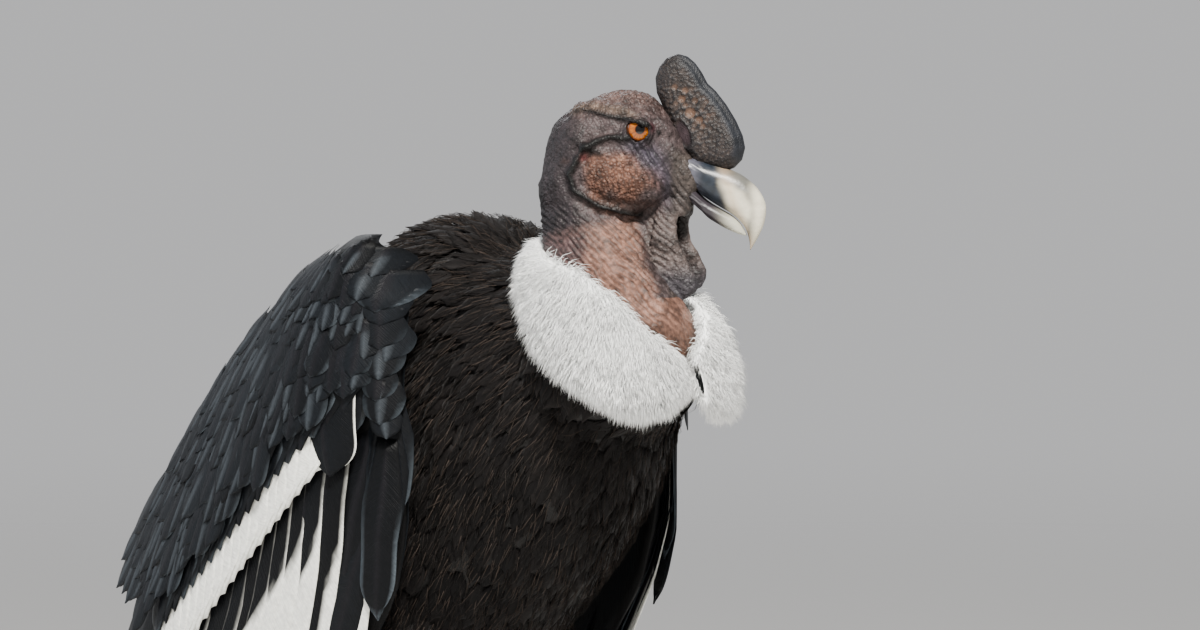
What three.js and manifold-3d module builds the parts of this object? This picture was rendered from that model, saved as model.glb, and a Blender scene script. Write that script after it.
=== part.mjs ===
// An adult male Andean condor, standing with its wings folded and its head turned to its left.
// Millimetres, +Z up, +X the way the body faces, +Y the bird's left. The floor is at z = 0.
import * as THREE from "three";
import { mergeVertices } from "three/addons/utils/BufferGeometryUtils.js";
import Module from "manifold-3d";

const wasm = await Module();
wasm.setup();

// Driving sizes
const GAP = 0.3; // between two sub-parts that meet
const BODY_PITCH = 52; // the folded wing and tail, in degrees below the horizontal
const HEAD_YAW = 38; // the head's turn to the bird's left, in degrees
const HEAD_CENTRE = [149, 12, 781];
const WRIST = [50, 686]; // x and z of the folded wing's bend
const TAIL_ROOT = [-222, 366]; // x and z
const TAIL_LENGTH = 350;
const TAIL_HALF_WIDTH = 84;
const HIP = [-52, 58, 430];
const KNEE = [2, 68, 345];
const ANKLE = [-74, 80, 140];
const FOOT = [-50, 84, 17];
const EYE_RADIUS = 11;

const rad = THREE.MathUtils.degToRad;
const at = (x, y, z) => new THREE.Vector3(x, y, z);
const LEFTWARD = at(0, 1, 0);

// A closed skin over a grid of rings, with a flat fan at each end
class LoftGeometry extends THREE.BufferGeometry {
  constructor(rings) {
    super();
    const sides = rings[0].length;
    const index = [];
    for (let i = 0; i + 1 < rings.length; i++) {
      for (let j = 0; j < sides; j++) {
        const a = i * sides + j;
        const b = i * sides + ((j + 1) % sides);
        index.push(a, b, a + sides, b, b + sides, a + sides);
      }
    }
    const last = (rings.length - 1) * sides;
    for (let j = 1; j + 1 < sides; j++) {
      index.push(0, j + 1, j, last, last + j, last + j + 1);
    }
    this.setFromPoints(rings.flat());
    this.setIndex(index);
  }
}

// A closed thin sheet between two like grids, split into triangles alike on both faces
class SheetGeometry extends THREE.BufferGeometry {
  constructor(top, bottom) {
    super();
    const rows = top.length;
    const columns = top[0].length;
    const under = rows * columns;
    const index = [];
    const number = (i, j) => i * columns + j;
    for (let i = 0; i + 1 < rows; i++) {
      for (let j = 0; j + 1 < columns; j++) {
        const [a, b, c, d] = [number(i, j), number(i, j + 1), number(i + 1, j + 1), number(i + 1, j)];
        index.push(a, b, c, a, c, d);
        index.push(under + a, under + c, under + b, under + a, under + d, under + c);
      }
    }
    const rim = [];
    for (let j = 0; j + 1 < columns; j++) rim.push(number(0, j));
    for (let i = 0; i + 1 < rows; i++) rim.push(number(i, columns - 1));
    for (let j = columns - 1; j > 0; j--) rim.push(number(rows - 1, j));
    for (let i = rows - 1; i > 0; i--) rim.push(number(i, 0));
    rim.forEach((a, k) => {
      const b = rim[(k + 1) % rim.length];
      index.push(b, a, under + a, b, under + a, under + b);
    });
    this.setFromPoints([...top.flat(), ...bottom.flat()]);
    this.setIndex(index);
  }
}

// A closed geometry as a solid, turned right side out
function solid(geometry, matrix) {
  const bare = new THREE.BufferGeometry().setAttribute("position", geometry.getAttribute("position").clone());
  if (geometry.index) bare.setIndex(geometry.index.clone());
  if (matrix) bare.applyMatrix4(matrix);
  const merged = mergeVertices(bare, 1e-4);
  const triVerts = new Uint32Array(merged.index.array);
  const build = () =>
    new wasm.Manifold(
      new wasm.Mesh({ numProp: 3, vertProperties: new Float32Array(merged.attributes.position.array), triVerts }),
    );
  const made = build();
  if (made.volume() > 0) return made;
  for (let i = 0; i < triVerts.length; i += 3) {
    [triVerts[i + 1], triVerts[i + 2]] = [triVerts[i + 2], triVerts[i + 1]];
  }
  return build();
}

const union = (solids) => wasm.Manifold.union(solids);

// The largest closed surface of a solid, with hollows that fusing seals filled and loose scraps dropped
function largest(made, tolerance) {
  const bodies = made.simplify(tolerance).decompose();
  return bodies.reduce((best, next) => (next.volume() > best.volume() ? next : best));
}

// A round limb whose rings follow keys of [x, y, z, half depth, half width], square to its path or to an axis
function limb(keys, { stations, sides, grow = 0, power = 2, axis, matrix }) {
  const path = new THREE.CatmullRomCurve3(keys.map(([x, y, z]) => at(x, y, z)), false, "centripetal");
  const sizes = new THREE.CatmullRomCurve3(keys.map((key) => at(key[3], key[4], 0)), false, "centripetal");
  const rings = [];
  for (let i = 0; i < stations; i++) {
    const share = i / (stations - 1);
    const centre = path.getPoint(share);
    const along = axis ? axis.clone() : path.getTangent(share);
    const across = LEFTWARD.clone().addScaledVector(along, -along.dot(LEFTWARD)).normalize();
    const up = along.clone().cross(across);
    const size = sizes.getPoint(share);
    if (i === 0) centre.addScaledVector(along, -grow);
    if (i === stations - 1) centre.addScaledVector(along, grow);
    const ring = [];
    for (let j = 0; j < sides; j++) {
      const turn = (2 * Math.PI * (j + 0.5)) / sides;
      const bulge = (value) => Math.sign(value) * Math.abs(value) ** (2 / power);
      ring.push(
        centre
          .clone()
          .addScaledVector(up, bulge(Math.sin(turn)) * (size.x + grow))
          .addScaledVector(across, bulge(Math.cos(turn)) * (size.y + grow)),
      );
    }
    rings.push(ring);
  }
  return solid(new LoftGeometry(rings), matrix);
}

// An ellipsoid at a centre, leaned about +Y by some degrees
function egg(centre, radii, { lean = 0, turn = 0, grow = 0, detail = 12, matrix } = {}) {
  const place = new THREE.Matrix4()
    .makeTranslation(...centre)
    .multiply(new THREE.Matrix4().makeRotationZ(rad(turn)))
    .multiply(new THREE.Matrix4().makeRotationY(rad(lean)))
    .multiply(new THREE.Matrix4().makeScale(...radii.map((radius) => radius + grow)));
  if (matrix) place.premultiply(matrix);
  return solid(new THREE.SphereGeometry(1, detail, Math.round(detail * 0.6)), place);
}

const mirrored = (made) => made.mirror([0, 1, 0]);

// Straight-line interpolation of [position, value] keys
function table(keys, position) {
  if (position <= keys[0][0]) return keys[0][1];
  for (let i = 1; i < keys.length; i++) {
    const [end, value] = keys[i];
    const [start, before] = keys[i - 1];
    if (position <= end) return THREE.MathUtils.mapLinear(position, start, end, before, value);
  }
  return keys[keys.length - 1][1];
}

// Torso: a trunk along the spine, the crop under the collar and the hump of the shoulders behind the neck
function torsoShape(grow = 0) {
  const trunk = limb(
    [
      [150, 0, 690, 38, 42],
      [132, 0, 664, 80, 80],
      [98, 0, 630, 108, 102],
      [55, 0, 583, 122, 110],
      [5, 0, 530, 124, 112],
      [-48, 0, 478, 114, 108],
      [-105, 0, 432, 94, 96],
      [-160, 0, 400, 68, 74],
      [-200, 0, 378, 44, 50],
      [-232, 0, 358, 28, 34],
    ],
    { stations: 11, sides: 16, grow },
  );
  const hump = egg([-12, 0, 650], [96, 104, 90], { lean: -14, grow, detail: 14 });
  const crop = egg([160, 0, 632], [70, 82, 60], { lean: 25, grow, detail: 12 });
  return union([trunk, hump, crop]);
}

// Neck: bare skin from the collar up to the back of the jaw
function neckShape(grow = 0) {
  return limb(
    [
      [142, 0, 628, 42, 40],
      [158, 0, 660, 48, 44],
      [147, 0, 692, 43, 40],
      [132, -1, 722, 40, 36],
      [126, -3, 752, 37, 33],
      [129, -3, 776, 34, 30],
    ],
    { stations: 9, sides: 14, grow },
  );
}

// The head's own frame: +X the way the bill points, seen level
const HEAD_FRAME = new THREE.Matrix4()
  .makeTranslation(...HEAD_CENTRE)
  .multiply(new THREE.Matrix4().makeRotationZ(rad(HEAD_YAW)));
const EYE = [19.5, 24.5, 22.5]; // the left eyeball's centre in the head's frame

function headShape(grow = 0) {
  const matrix = HEAD_FRAME;
  const skull = limb(
    [
      [-62, 0, 0, 8, 6],
      [-54, 0, 4, 30, 21],
      [-38, 0, 6, 40, 30],
      [-14, 0, 7, 47, 33],
      [10, 0, 8, 48, 33],
      [28, 0, 6, 44, 30],
      [42, 0, 0, 34, 24],
      [54, 0, -6, 22, 18],
      [62, 0, -12, 14, 13],
    ],
    { stations: 13, sides: 14, grow, power: 2.2, axis: at(1, 0, 0), matrix },
  );
  const chin = egg([48, 0, -26], [20, 12, 12], { lean: 35, grow, detail: 8, matrix });
  const pairs = [-1, 1].flatMap((side) => [
    // Cheek, brow, temple and the fold behind the cheek
    egg([4, side * 20, -13], [35, 18, 25], { lean: 14, grow, detail: 12, matrix }),
    egg([19, side * 23, 37], [26, 9, 7], { lean: 10, grow, detail: 8, matrix }),
    egg([-24, side * 20, 24], [26, 12, 14], { lean: -24, grow, detail: 8, matrix }),
    egg([-39, side * 17, -14], [12, 13, 34], { lean: -18, grow, detail: 8, matrix }),
  ]);
  return union([skull, chin, ...pairs]);
}

function eyeBall(side, grow = 0) {
  return egg([EYE[0], side * EYE[1], EYE[2]], [EYE_RADIUS, EYE_RADIUS, EYE_RADIUS], {
    grow,
    detail: 12,
    matrix: HEAD_FRAME,
  });
}

// A rim of skin round each eye
function lid(side) {
  const rim = new THREE.TorusGeometry(8.4, 2.3, 4, 12);
  const place = HEAD_FRAME.clone()
    .multiply(new THREE.Matrix4().makeTranslation(EYE[0], side * (EYE[1] + 7.4), EYE[2]))
    .multiply(new THREE.Matrix4().makeRotationX(rad(90)));
  return solid(rim, place);
}

// Ear cup, nostril and the corner of the mouth, cut into each side of the head
function faceCuts() {
  const matrix = HEAD_FRAME;
  return [-1, 1].flatMap((side) => [
    egg([-25, side * 35, 7], [9, 9, 6], { lean: -25, detail: 8, matrix }),
    egg([58, side * 15, 5], [3, 6, 7], { lean: 40, detail: 8, matrix }),
    egg([51, side * 19, -17], [9, 6, 1.4], { lean: 40, detail: 6, matrix }),
  ]);
}

// The upright fleshy comb, flat from side to side, with its warts
function combShape(grow = 0) {
  const matrix = HEAD_FRAME;
  const line = [
    [43, 0, 80, 4, 2],
    [45, 0, 74, 13, 5.5],
    [49, 0, 62, 18, 7],
    [57, 0, 45, 19.5, 8],
    [68, 0, 28, 22, 8.5],
    [78, 0, 13, 21, 8],
    [85, 0, 2, 15, 7],
    [89, 0, -4, 5, 3],
  ];
  const lobe = limb(line, { stations: 10, sides: 12, grow, matrix });
  const warts = [-1, 1].flatMap((side) =>
    line.slice(2, 7).map(([x, , z, deep, wide], i) => {
      const shift = (i % 2 ? 1 : -1) * 0.35 * deep;
      return egg([x + shift * 0.8, side * (wide - 1.5), z + shift * 0.6], [5.5, 3.6, 4.8], {
        lean: 40,
        grow,
        detail: 6,
        matrix,
      });
    }),
  );
  return union([lobe, ...warts]);
}

function billShape(grow = 0) {
  return limb(
    [
      [54, 0, -11, 9, 10],
      [68, 0, -17, 12.5, 11],
      [82, 0, -24, 15, 11],
      [94, 0, -34, 14, 10],
      [101, 0, -46, 10, 7.5],
      [103, 0, -58, 5, 4],
      [101.5, 0, -67, 1, 1],
    ],
    { stations: 12, sides: 10, grow, matrix: HEAD_FRAME },
  );
}

function jawShape(grow = 0) {
  return limb(
    [
      [54, 0, -26, 6.5, 9],
      [69, 0, -35, 7.5, 8.5],
      [82, 0, -44, 7.5, 7.5],
      [92, 0, -52, 4, 5],
      [96, 0, -56, 1.5, 2],
    ],
    { stations: 7, sides: 10, grow, matrix: HEAD_FRAME },
  );
}

// One of the two lappets of loose skin that hang from the throat
function lappet(side, grow = 0) {
  return limb(
    [
      [40, side * 9, -22, 13, 5],
      [38, side * 11, -44, 17, 5.5],
      [39, side * 12, -64, 17, 5.5],
      [41, side * 13, -84, 18, 5.5],
      [43, side * 13, -98, 17, 5],
      [45, side * 13, -107, 8, 2.5],
    ],
    { stations: 8, sides: 10, grow, power: 2.4, axis: at(0, 0, -1), matrix: HEAD_FRAME },
  );
}

// The collar's two edges, by the angle round the neck from the front
function collarEdges(turn) {
  const [c, s] = [Math.cos(turn), Math.sin(turn)];
  const front = ((1 + c) / 2) ** 5;
  const back = ((1 - c) / 2) ** 3;
  const notch = Math.exp(-((turn / rad(20)) ** 2));
  const rear = (1 - c) / 2;
  const far = Math.max(0, s);
  return [
    at(168 + 62 * c, 54 * s, 706 - 66 * front + 8 * back - 22 * far),
    at(166 + 78 * c + 10 * s ** 2 * rear, s * (84 - 14 * rear - 6 * far), 618 - 42 * c + 22 * notch + 44 * back),
  ];
}

const COLLAR_TURN = rad(6); // the opening at the throat turns to the left with the head

// A point of the collar: how far from its inner edge to its outer edge, and how high off the middle surface
function collarPoint(turn, share, lift) {
  const way = turn + (COLLAR_TURN * (1 + Math.cos(turn))) / 2;
  const [inner, outer] = collarEdges(way);
  const long = outer.clone().sub(inner);
  const outward = at(Math.cos(way), Math.sin(way), 0.35);
  outward.addScaledVector(long, -outward.dot(long) / long.lengthSq()).normalize();
  return inner.addScaledVector(long, share).addScaledVector(outward, lift);
}

// The collar of down is built in arcs on each side, from the front of the neck round to the nape. Each is a
// short core with rows of flat tapered locks that root in it and follow its lie to the outer edge.
const ARCS = ["front", "side", "back"];
const LOCKS_AROUND = 4; // in one row of an arc
const LOCK_ROWS = [
  { start: 0.04, end: 1.06, lift: [-6, 10, 8, -4], offset: 0 },
  { start: -0.04, end: 0.92, lift: [2, 19, 17, 4], offset: 0.5 },
];

function collarLock(turn, wide, { start, end, lift }) {
  const widths = [0.9, 1, 1, 0.55];
  const face = (thick) =>
    widths.map((width, i) => {
      const share = THREE.MathUtils.lerp(start, end, i / (widths.length - 1));
      return [-1, 1].map((edge) => collarPoint(turn + edge * wide * width, share, lift[i] + thick));
    });
  return solid(new SheetGeometry(face(1.4), face(-1.4)));
}

function collarArc(side, arc) {
  const steps = 4;
  const sides = 8;
  const span = (Math.PI - rad(2.5)) / ARCS.length;
  const start = rad(2.5) + span * arc + rad(0.2);
  const end = rad(2.5) + span * (arc + 1) - rad(0.2);
  const rings = [];
  for (let i = 0; i <= steps; i++) {
    const turn = side * THREE.MathUtils.lerp(start, end, i / steps);
    const thick = arc === 0 && i === 0 ? 10 : 14;
    rings.push(
      Array.from({ length: sides }, (_, j) => {
        const round = (2 * Math.PI * (j + 0.5)) / sides;
        return collarPoint(turn, 0.3 + 0.36 * Math.cos(round), Math.sin(round) * thick);
      }),
    );
  }
  const core = solid(new LoftGeometry(rings));
  const locks = LOCK_ROWS.flatMap((row) =>
    Array.from({ length: LOCKS_AROUND - 2 * row.offset }, (_, i) => {
      const pitch = (end - start) / LOCKS_AROUND;
      const turn = side * (start + (i + 0.5 + row.offset) * pitch);
      return collarLock(turn, 0.49 * pitch, row);
    }),
  );
  return union([core, ...locks]);
}

// The folded wing is laid out in its own flat map: p runs down the wing from the wrist, q runs up towards
// the back, and depth runs in towards the body from the wing's outer surface.
const DOWN_WING = [-Math.cos(rad(BODY_PITCH)), -Math.sin(rad(BODY_PITCH))];
const UP_WING = [-Math.sin(rad(BODY_PITCH)), Math.cos(rad(BODY_PITCH))];
const SPREAD = [[-30, 156], [0, 172], [60, 182], [150, 187], [400, 178], [600, 150], [770, 116]];
const FRONT_EDGE = [[-28, 0], [0, -26], [57, -70], [142, -128], [190, -146], [770, -160]];
const BACK_EDGE = [[-28, 44], [0, 62], [50, 84], [130, 104], [210, 118], [320, 128], [480, 128], [770, 104]];

function wingPoint(p, q, depth) {
  const [front, back] = [table(FRONT_EDGE, p), table(BACK_EDGE, p)];
  const across = (2 * q - front - back) / (back - front);
  const inward = (across > 0 ? 40 : 34) * across ** 2;
  return at(
    WRIST[0] + DOWN_WING[0] * p + UP_WING[0] * q,
    table(SPREAD, p) - inward - depth,
    WRIST[1] + DOWN_WING[1] * p + UP_WING[1] * q,
  );
}

// A plate on the wing's map between two edges, its outer and inner depths given as tables down the wing
function wingPlate({ front, back, outer, inner, rows, columns, thin = 0, grow = 0 }) {
  const [start, end] = [front[0][0] - grow, front[front.length - 1][0] + grow];
  const face = (depths, swell) =>
    Array.from({ length: rows }, (_, i) => {
      const p = THREE.MathUtils.lerp(start, end, i / (rows - 1));
      return Array.from({ length: columns }, (_, j) => {
        const across = j / (columns - 1);
        const q = THREE.MathUtils.lerp(table(front, p) - grow, table(back, p) + grow, across);
        const edge = Math.max(Math.abs(2 * across - 1), Math.abs((2 * i) / (rows - 1) - 1)) ** 2;
        return wingPoint(p, q, table(depths, p) + swell * edge);
      });
    });
  const outerFace = face(outer.map(([p, depth]) => [p, depth - grow]), thin);
  return solid(new SheetGeometry(outerFace, face(inner.map(([p, depth]) => [p, depth + grow]), -thin)));
}

// Rows of feathers: each row's roots and tips run between two ends on the map, from the front edge to the
// back. Every vane slants inwards from its front edge, so the next one up the wing lies over it.
const FLIGHT_WIDTHS = [[0, 0.5], [0.5, 1], [0.88, 0.85], [1, 0.2]];
const COVERT_WIDTHS = [[0, 0.6], [0.65, 1], [1, 0.25]];

function vane(root, tip, { width, depth, slant, thick, widths }) {
  const along = [tip[0] - root[0], tip[1] - root[1]];
  const length = Math.hypot(...along);
  const face = (extra) =>
    widths.map(([share, size]) =>
      [-1, 0, 1].map((edge) => {
        const out = (edge * width * size) / 2;
        const p = root[0] + along[0] * share - (along[1] / length) * out;
        const q = root[1] + along[1] * share + (along[0] / length) * out;
        return wingPoint(p, q, depth + slant * (out + width / 2) + extra);
      }),
    );
  return solid(new SheetGeometry(face(0), face(thick)));
}

const between = (ends, share) => ends[0].map((value, i) => THREE.MathUtils.lerp(value, ends[1][i], share));

function vaneRow({ count, roots, tips, step = 0, ...form }) {
  return Array.from({ length: count }, (_, i) => {
    const share = count > 1 ? i / (count - 1) : 0;
    const tip = Array.isArray(tips[0]) && tips.length === count ? tips[i] : between(tips, share);
    return vane(between(roots, share), tip, { ...form, depth: form.depth + step * (count - 1 - i) });
  });
}

const SECONDARIES = {
  count: 8,
  roots: [[84, -44], [246, 86]],
  tips: [[352, -130], [690, 74]],
  width: 68,
  depth: 11.4,
  slant: 0.12,
  thick: 1.3,
  widths: FLIGHT_WIDTHS,
};
const GREATER_COVERTS = {
  count: 5,
  roots: [[44, -8], [262, 94]],
  tips: [[130, -62], [396, 2]],
  width: 56,
  depth: 4.8,
  slant: 0.1,
  thick: 1.2,
  widths: COVERT_WIDTHS,
};
const MEDIAN_COVERTS = {
  count: 4,
  roots: [[24, 12], [232, 104]],
  tips: [[92, -42], [340, 36]],
  width: 48,
  depth: 0.2,
  slant: 0.08,
  thick: 1,
  widths: COVERT_WIDTHS,
};
const PRIMARIES = {
  count: 5,
  roots: [[150, -124], [104, -92]],
  tips: [[700, -148], [752, -130], [745, -110], [700, -88], [620, -66]],
  width: 50,
  depth: 23.6,
  step: 2,
  slant: 0.03,
  thick: 1.5,
  widths: FLIGHT_WIDTHS,
};

// The upper arm, from the shoulder back to the elbow, under the feathers
function upperArm(grow = 0) {
  return limb(
    [
      [14, 104, 684, 30, 34],
      [-50, 112, 652, 48, 46],
      [-128, 108, 588, 52, 48],
      [-200, 104, 512, 42, 40],
      [-256, 104, 440, 12, 14],
    ],
    { stations: 7, sides: 10, grow },
  );
}

// The forearm and its skin, that the secondaries and coverts root in
function forearm(grow = 0) {
  return wingPlate({
    front: [[-28, 4], [0, -24], [50, -60], [90, -76], [130, -56], [200, -14], [280, 34], [320, 60]],
    back: [[-28, 36], [0, 60], [50, 82], [130, 102], [200, 116], [280, 122], [320, 116]],
    outer: [[-28, 3], [320, 3]],
    inner: [[-28, 24], [0, 50], [40, 52], [100, 26], [140, 20], [320, 20]],
    rows: 8,
    columns: 5,
    thin: 2.5,
    grow,
  });
}

function wingArm() {
  const rows = [SECONDARIES, GREATER_COVERTS, MEDIAN_COVERTS].flatMap(vaneRow);
  return union([forearm(), upperArm(), ...rows]).subtract(torsoShape(GAP));
}

function wingHand() {
  const manus = wingPlate({
    front: [[30, -50], [57, -68], [142, -130], [190, -146], [330, -149]],
    back: [[30, -38], [57, -48], [142, -100], [190, -126], [330, -148]],
    outer: [[30, 6], [190, 10], [330, 22]],
    inner: [[30, 34], [190, 33], [330, 24]],
    rows: 6,
    columns: 3,
  });
  const room = union([forearm(2 * GAP), upperArm(2 * GAP), torsoShape(GAP), thighShape(GAP)]);
  return union([manus, ...vaneRow(PRIMARIES)]).subtract(room);
}

// The tail's flat map: along it, across it, and in from its upper face
function tailPoint(along, across, depth) {
  const sag = depth + across ** 2 * 0.0005;
  return at(
    TAIL_ROOT[0] + DOWN_WING[0] * along - UP_WING[0] * sag,
    across,
    TAIL_ROOT[1] + DOWN_WING[1] * along - UP_WING[1] * sag,
  );
}

const TAIL_PAIRS = 5;
const TAIL_LAYER = 1.6;

// One tail feather: its rank is 0 in the middle pair, which lies over the others
function tailFeather(side, rank) {
  const layer = rank < 3 ? 2 * rank + (side < 0 ? 1 : 0) : rank + 3;
  const width = 52;
  const tip = 8 + (TAIL_HALF_WIDTH - width / 2 - 8) * (rank / (TAIL_PAIRS - 1));
  const length = TAIL_LENGTH - 4 * rank;
  const face = (depth) =>
    FLIGHT_WIDTHS.map(([share, size]) =>
      [-1, 1].map((edge) =>
        tailPoint(length * share, side * THREE.MathUtils.lerp(3 + 3 * rank, tip, share) + (edge * width * size) / 2, depth),
      ),
    );
  return solid(new SheetGeometry(face(layer * TAIL_LAYER - 3), face(layer * TAIL_LAYER - 1.9)));
}

function tailShape() {
  const feathers = [-1, 1].flatMap((side) =>
    Array.from({ length: TAIL_PAIRS }, (_, rank) => tailFeather(side, rank)),
  );
  const root = limb(
    [
      [-214, 0, 371, 26, 34],
      [-240, 0, 346, 24, 34],
      [-268, 0, 312, 16, 30],
      [-290, 0, 284, 5, 18],
    ],
    { stations: 6, sides: 12 },
  );
  return union([...feathers, root]).trimByPlane([DOWN_WING[0], 0, DOWN_WING[1]], tailCut() + GAP);
}

// How far down the body's pitch the torso ends and the tail begins
const tailCut = () => TAIL_ROOT[0] * DOWN_WING[0] + TAIL_ROOT[1] * DOWN_WING[1] + 4;

function thighShape(grow = 0) {
  return limb(
    [
      [...HIP, 72, 38],
      [-24, 62, 372, 60, 32],
      [...KNEE.map((value, i) => value - [20, 0, 20][i]), 48, 29],
      [-46, 75, 238, 32, 25],
      [-68, 79, 170, 18, 17],
      [...ANKLE, 13, 12],
    ],
    { stations: 10, sides: 12, grow },
  );
}

function shankShape(grow = 0) {
  return limb(
    [
      [ANKLE[0] - 2, ANKLE[1], ANKLE[2] + 18, 8, 8],
      [ANKLE[0] - 2, ANKLE[1], ANKLE[2], 13, 12],
      [ANKLE[0] + 3, ANKLE[1] + 1, ANKLE[2] - 24, 10, 9],
      [-58, 83, 62, 9.5, 8.5],
      [-53, 84, 34, 11, 10],
      [...FOOT, 11, 12],
      [FOOT[0], FOOT[1], FOOT[2] - 7, 8, 9],
    ],
    { stations: 11, sides: 9, grow },
  );
}

// The toes of the left foot: heading in degrees to the left, length, and the length of the claw
const TOES = [
  { name: "inner", heading: -26, length: 62, claw: 27 },
  { name: "middle", heading: -2, length: 98, claw: 27 },
  { name: "outer", heading: 22, length: 68, claw: 23 },
  { name: "hind", heading: 172, length: 36, claw: 22 },
];

function alongToe(heading, distance, height, deep, wide) {
  const [c, s] = [Math.cos(rad(heading)), Math.sin(rad(heading))];
  return [FOOT[0] + c * distance, FOOT[1] + s * distance, height, deep, wide];
}

const ahead = (heading) => at(Math.cos(rad(heading)), Math.sin(rad(heading)), 0);

function toe({ heading, length }) {
  const pads = [0, 0.3, 0.42, 0.62, 0.72, 0.92, 1];
  const sizes = [11, 10, 8.2, 9.2, 7.6, 8.4, 6.4];
  const keys = pads.map((share, i) =>
    alongToe(heading, share * length, sizes[i] - 1.4, sizes[i], sizes[i] * 0.95),
  );
  return limb(keys, { stations: 7, sides: 6, axis: ahead(heading) });
}

function claw({ heading, length, claw: reach }) {
  return limb(
    [
      alongToe(heading, length + GAP + 0.6, 6.2, 5.6, 4.8),
      alongToe(heading, length + reach * 0.4, 7.4, 5, 4),
      alongToe(heading, length + reach * 0.75, 5.4, 3.4, 2.8),
      alongToe(heading, length + reach, 2.2, 1, 1),
    ],
    { stations: 5, sides: 6, axis: ahead(heading) },
  );
}

const OFF_FLOOR = [0, 0, 1];

function footShape() {
  const pad = egg([FOOT[0], FOOT[1], 12], [17, 17, 13.5], { detail: 8 });
  return union([pad, ...TOES.map(toe)]).subtract(shankShape(GAP)).trimByPlane(OFF_FLOOR, 0);
}

// Both sides' copies of a shape made for the left side
const pair = (name, made) => ({ [`${name}_left`]: made, [`${name}_right`]: mirrored(made) });

function nodes() {
  const [torsoRoom, neckRoom, headRoom, billRoom] = [torsoShape, neckShape, headShape, billShape].map((shape) =>
    shape(GAP),
  );
  const flesh = union([torsoRoom, neckRoom]);
  const hung = union([lappet(-1, GAP), lappet(1, GAP)]);
  const made = {
    torso: torsoShape().trimByPlane([-DOWN_WING[0], 0, -DOWN_WING[1]], -tailCut()),
    neck: neckShape().subtract(torsoRoom).subtract(headRoom),
    head: union([headShape(), lid(-1), lid(1)]).subtract(
      union([eyeBall(-1, GAP), eyeBall(1, GAP), ...faceCuts()]),
    ),
    comb: combShape().subtract(headRoom).subtract(billRoom),
    bill_upper: billShape().subtract(headRoom),
    bill_lower: jawShape().subtract(headRoom).subtract(billRoom),
    tail: tailShape(),
  };
  for (const [name, side] of [["left", 1], ["right", -1]]) {
    made[`eye_${name}`] = eyeBall(side);
    made[`lappet_${name}`] = lappet(side).subtract(headRoom).subtract(flesh);
    ARCS.forEach((place, arc) => {
      made[`collar_${place}_${name}`] = collarArc(side, arc).subtract(flesh).subtract(hung);
    });
  }
  Object.assign(
    made,
    pair("wing_arm", wingArm()),
    pair("wing_hand", wingHand()),
    pair("thigh", thighShape().subtract(torsoRoom)),
    pair("shank", shankShape().subtract(thighShape(GAP))),
    pair("foot", footShape()),
    ...TOES.map((each) => pair(`claw_${each.name}`, claw(each).trimByPlane(OFF_FLOOR, 0))),
  );
  return made;
}

const LOOKS = {
  skin: { color: 0x6b5a52, roughness: 0.75 },
  comb: { color: 0x3c3836, roughness: 0.7 },
  horn: { color: 0xd9d2c4, roughness: 0.4 },
  eye: { color: 0xa8590f, roughness: 0.08 },
  down: { color: 0xf4f4f2, roughness: 0.9 },
  plumage: { color: 0x15171a, roughness: 0.6 },
  scales: { color: 0x5b5a58, roughness: 0.7 },
  claw: { color: 0x1d1c1b, roughness: 0.45 },
};
const FINISHES = [
  [/^(torso|wing|tail|thigh)/, "plumage"],
  [/^(head|neck|lappet)/, "skin"],
  [/^comb/, "comb"],
  [/^bill/, "horn"],
  [/^eye/, "eye"],
  [/^collar/, "down"],
  [/^(shank|foot)/, "scales"],
  [/^claw/, "claw"],
];

const FINE = /^(eye|claw)/; // small nodes that keep every facet

const bodies = Object.entries(nodes()).map(([name, made]) => [name, largest(made, FINE.test(name) ? 0.04 : 0.12)]);
const reach = new THREE.Box3();
for (const [, body] of bodies) {
  const { min, max } = body.boundingBox();
  reach.expandByPoint(at(...min)).expandByPoint(at(...max));
}
const middle = reach.getCenter(at(0, 0, 0));

// Standing on the floor at z = 0, its outline centred over the origin
const condor = new THREE.Group();
for (const [name, body] of bodies) {
  const mesh = body.translate([-middle.x, -middle.y, -reach.min.z]).getMesh();
  const geometry = new THREE.BufferGeometry();
  geometry.setAttribute("position", new THREE.BufferAttribute(mesh.vertProperties, mesh.numProp));
  geometry.setIndex(new THREE.BufferAttribute(mesh.triVerts, 1));
  geometry.computeVertexNormals();
  const [, finish] = FINISHES.find(([pattern]) => pattern.test(name));
  const node = new THREE.Mesh(geometry, new THREE.MeshStandardMaterial(LOOKS[finish]));
  node.name = name;
  condor.add(node);
}

export default condor;
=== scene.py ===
import math

import bpy
import numpy as np
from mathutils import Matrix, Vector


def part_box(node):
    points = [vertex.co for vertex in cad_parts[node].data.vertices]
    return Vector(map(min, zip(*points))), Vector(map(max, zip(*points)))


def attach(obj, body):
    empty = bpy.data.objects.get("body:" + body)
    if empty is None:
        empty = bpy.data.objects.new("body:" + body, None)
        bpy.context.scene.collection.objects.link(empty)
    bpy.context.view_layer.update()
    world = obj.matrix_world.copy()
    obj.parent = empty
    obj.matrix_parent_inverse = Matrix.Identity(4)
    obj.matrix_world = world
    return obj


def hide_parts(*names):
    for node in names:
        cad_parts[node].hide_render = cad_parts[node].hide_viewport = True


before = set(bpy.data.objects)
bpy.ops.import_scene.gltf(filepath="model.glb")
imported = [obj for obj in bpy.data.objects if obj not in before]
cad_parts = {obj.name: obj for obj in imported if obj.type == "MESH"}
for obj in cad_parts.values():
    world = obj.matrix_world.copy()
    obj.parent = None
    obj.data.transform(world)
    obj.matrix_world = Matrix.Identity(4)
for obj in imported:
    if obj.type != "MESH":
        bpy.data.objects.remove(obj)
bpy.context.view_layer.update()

import openvdb
from mathutils import Vector

MM = 0.001
SIDES = ((1, "left"), (-1, "right"))

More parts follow.
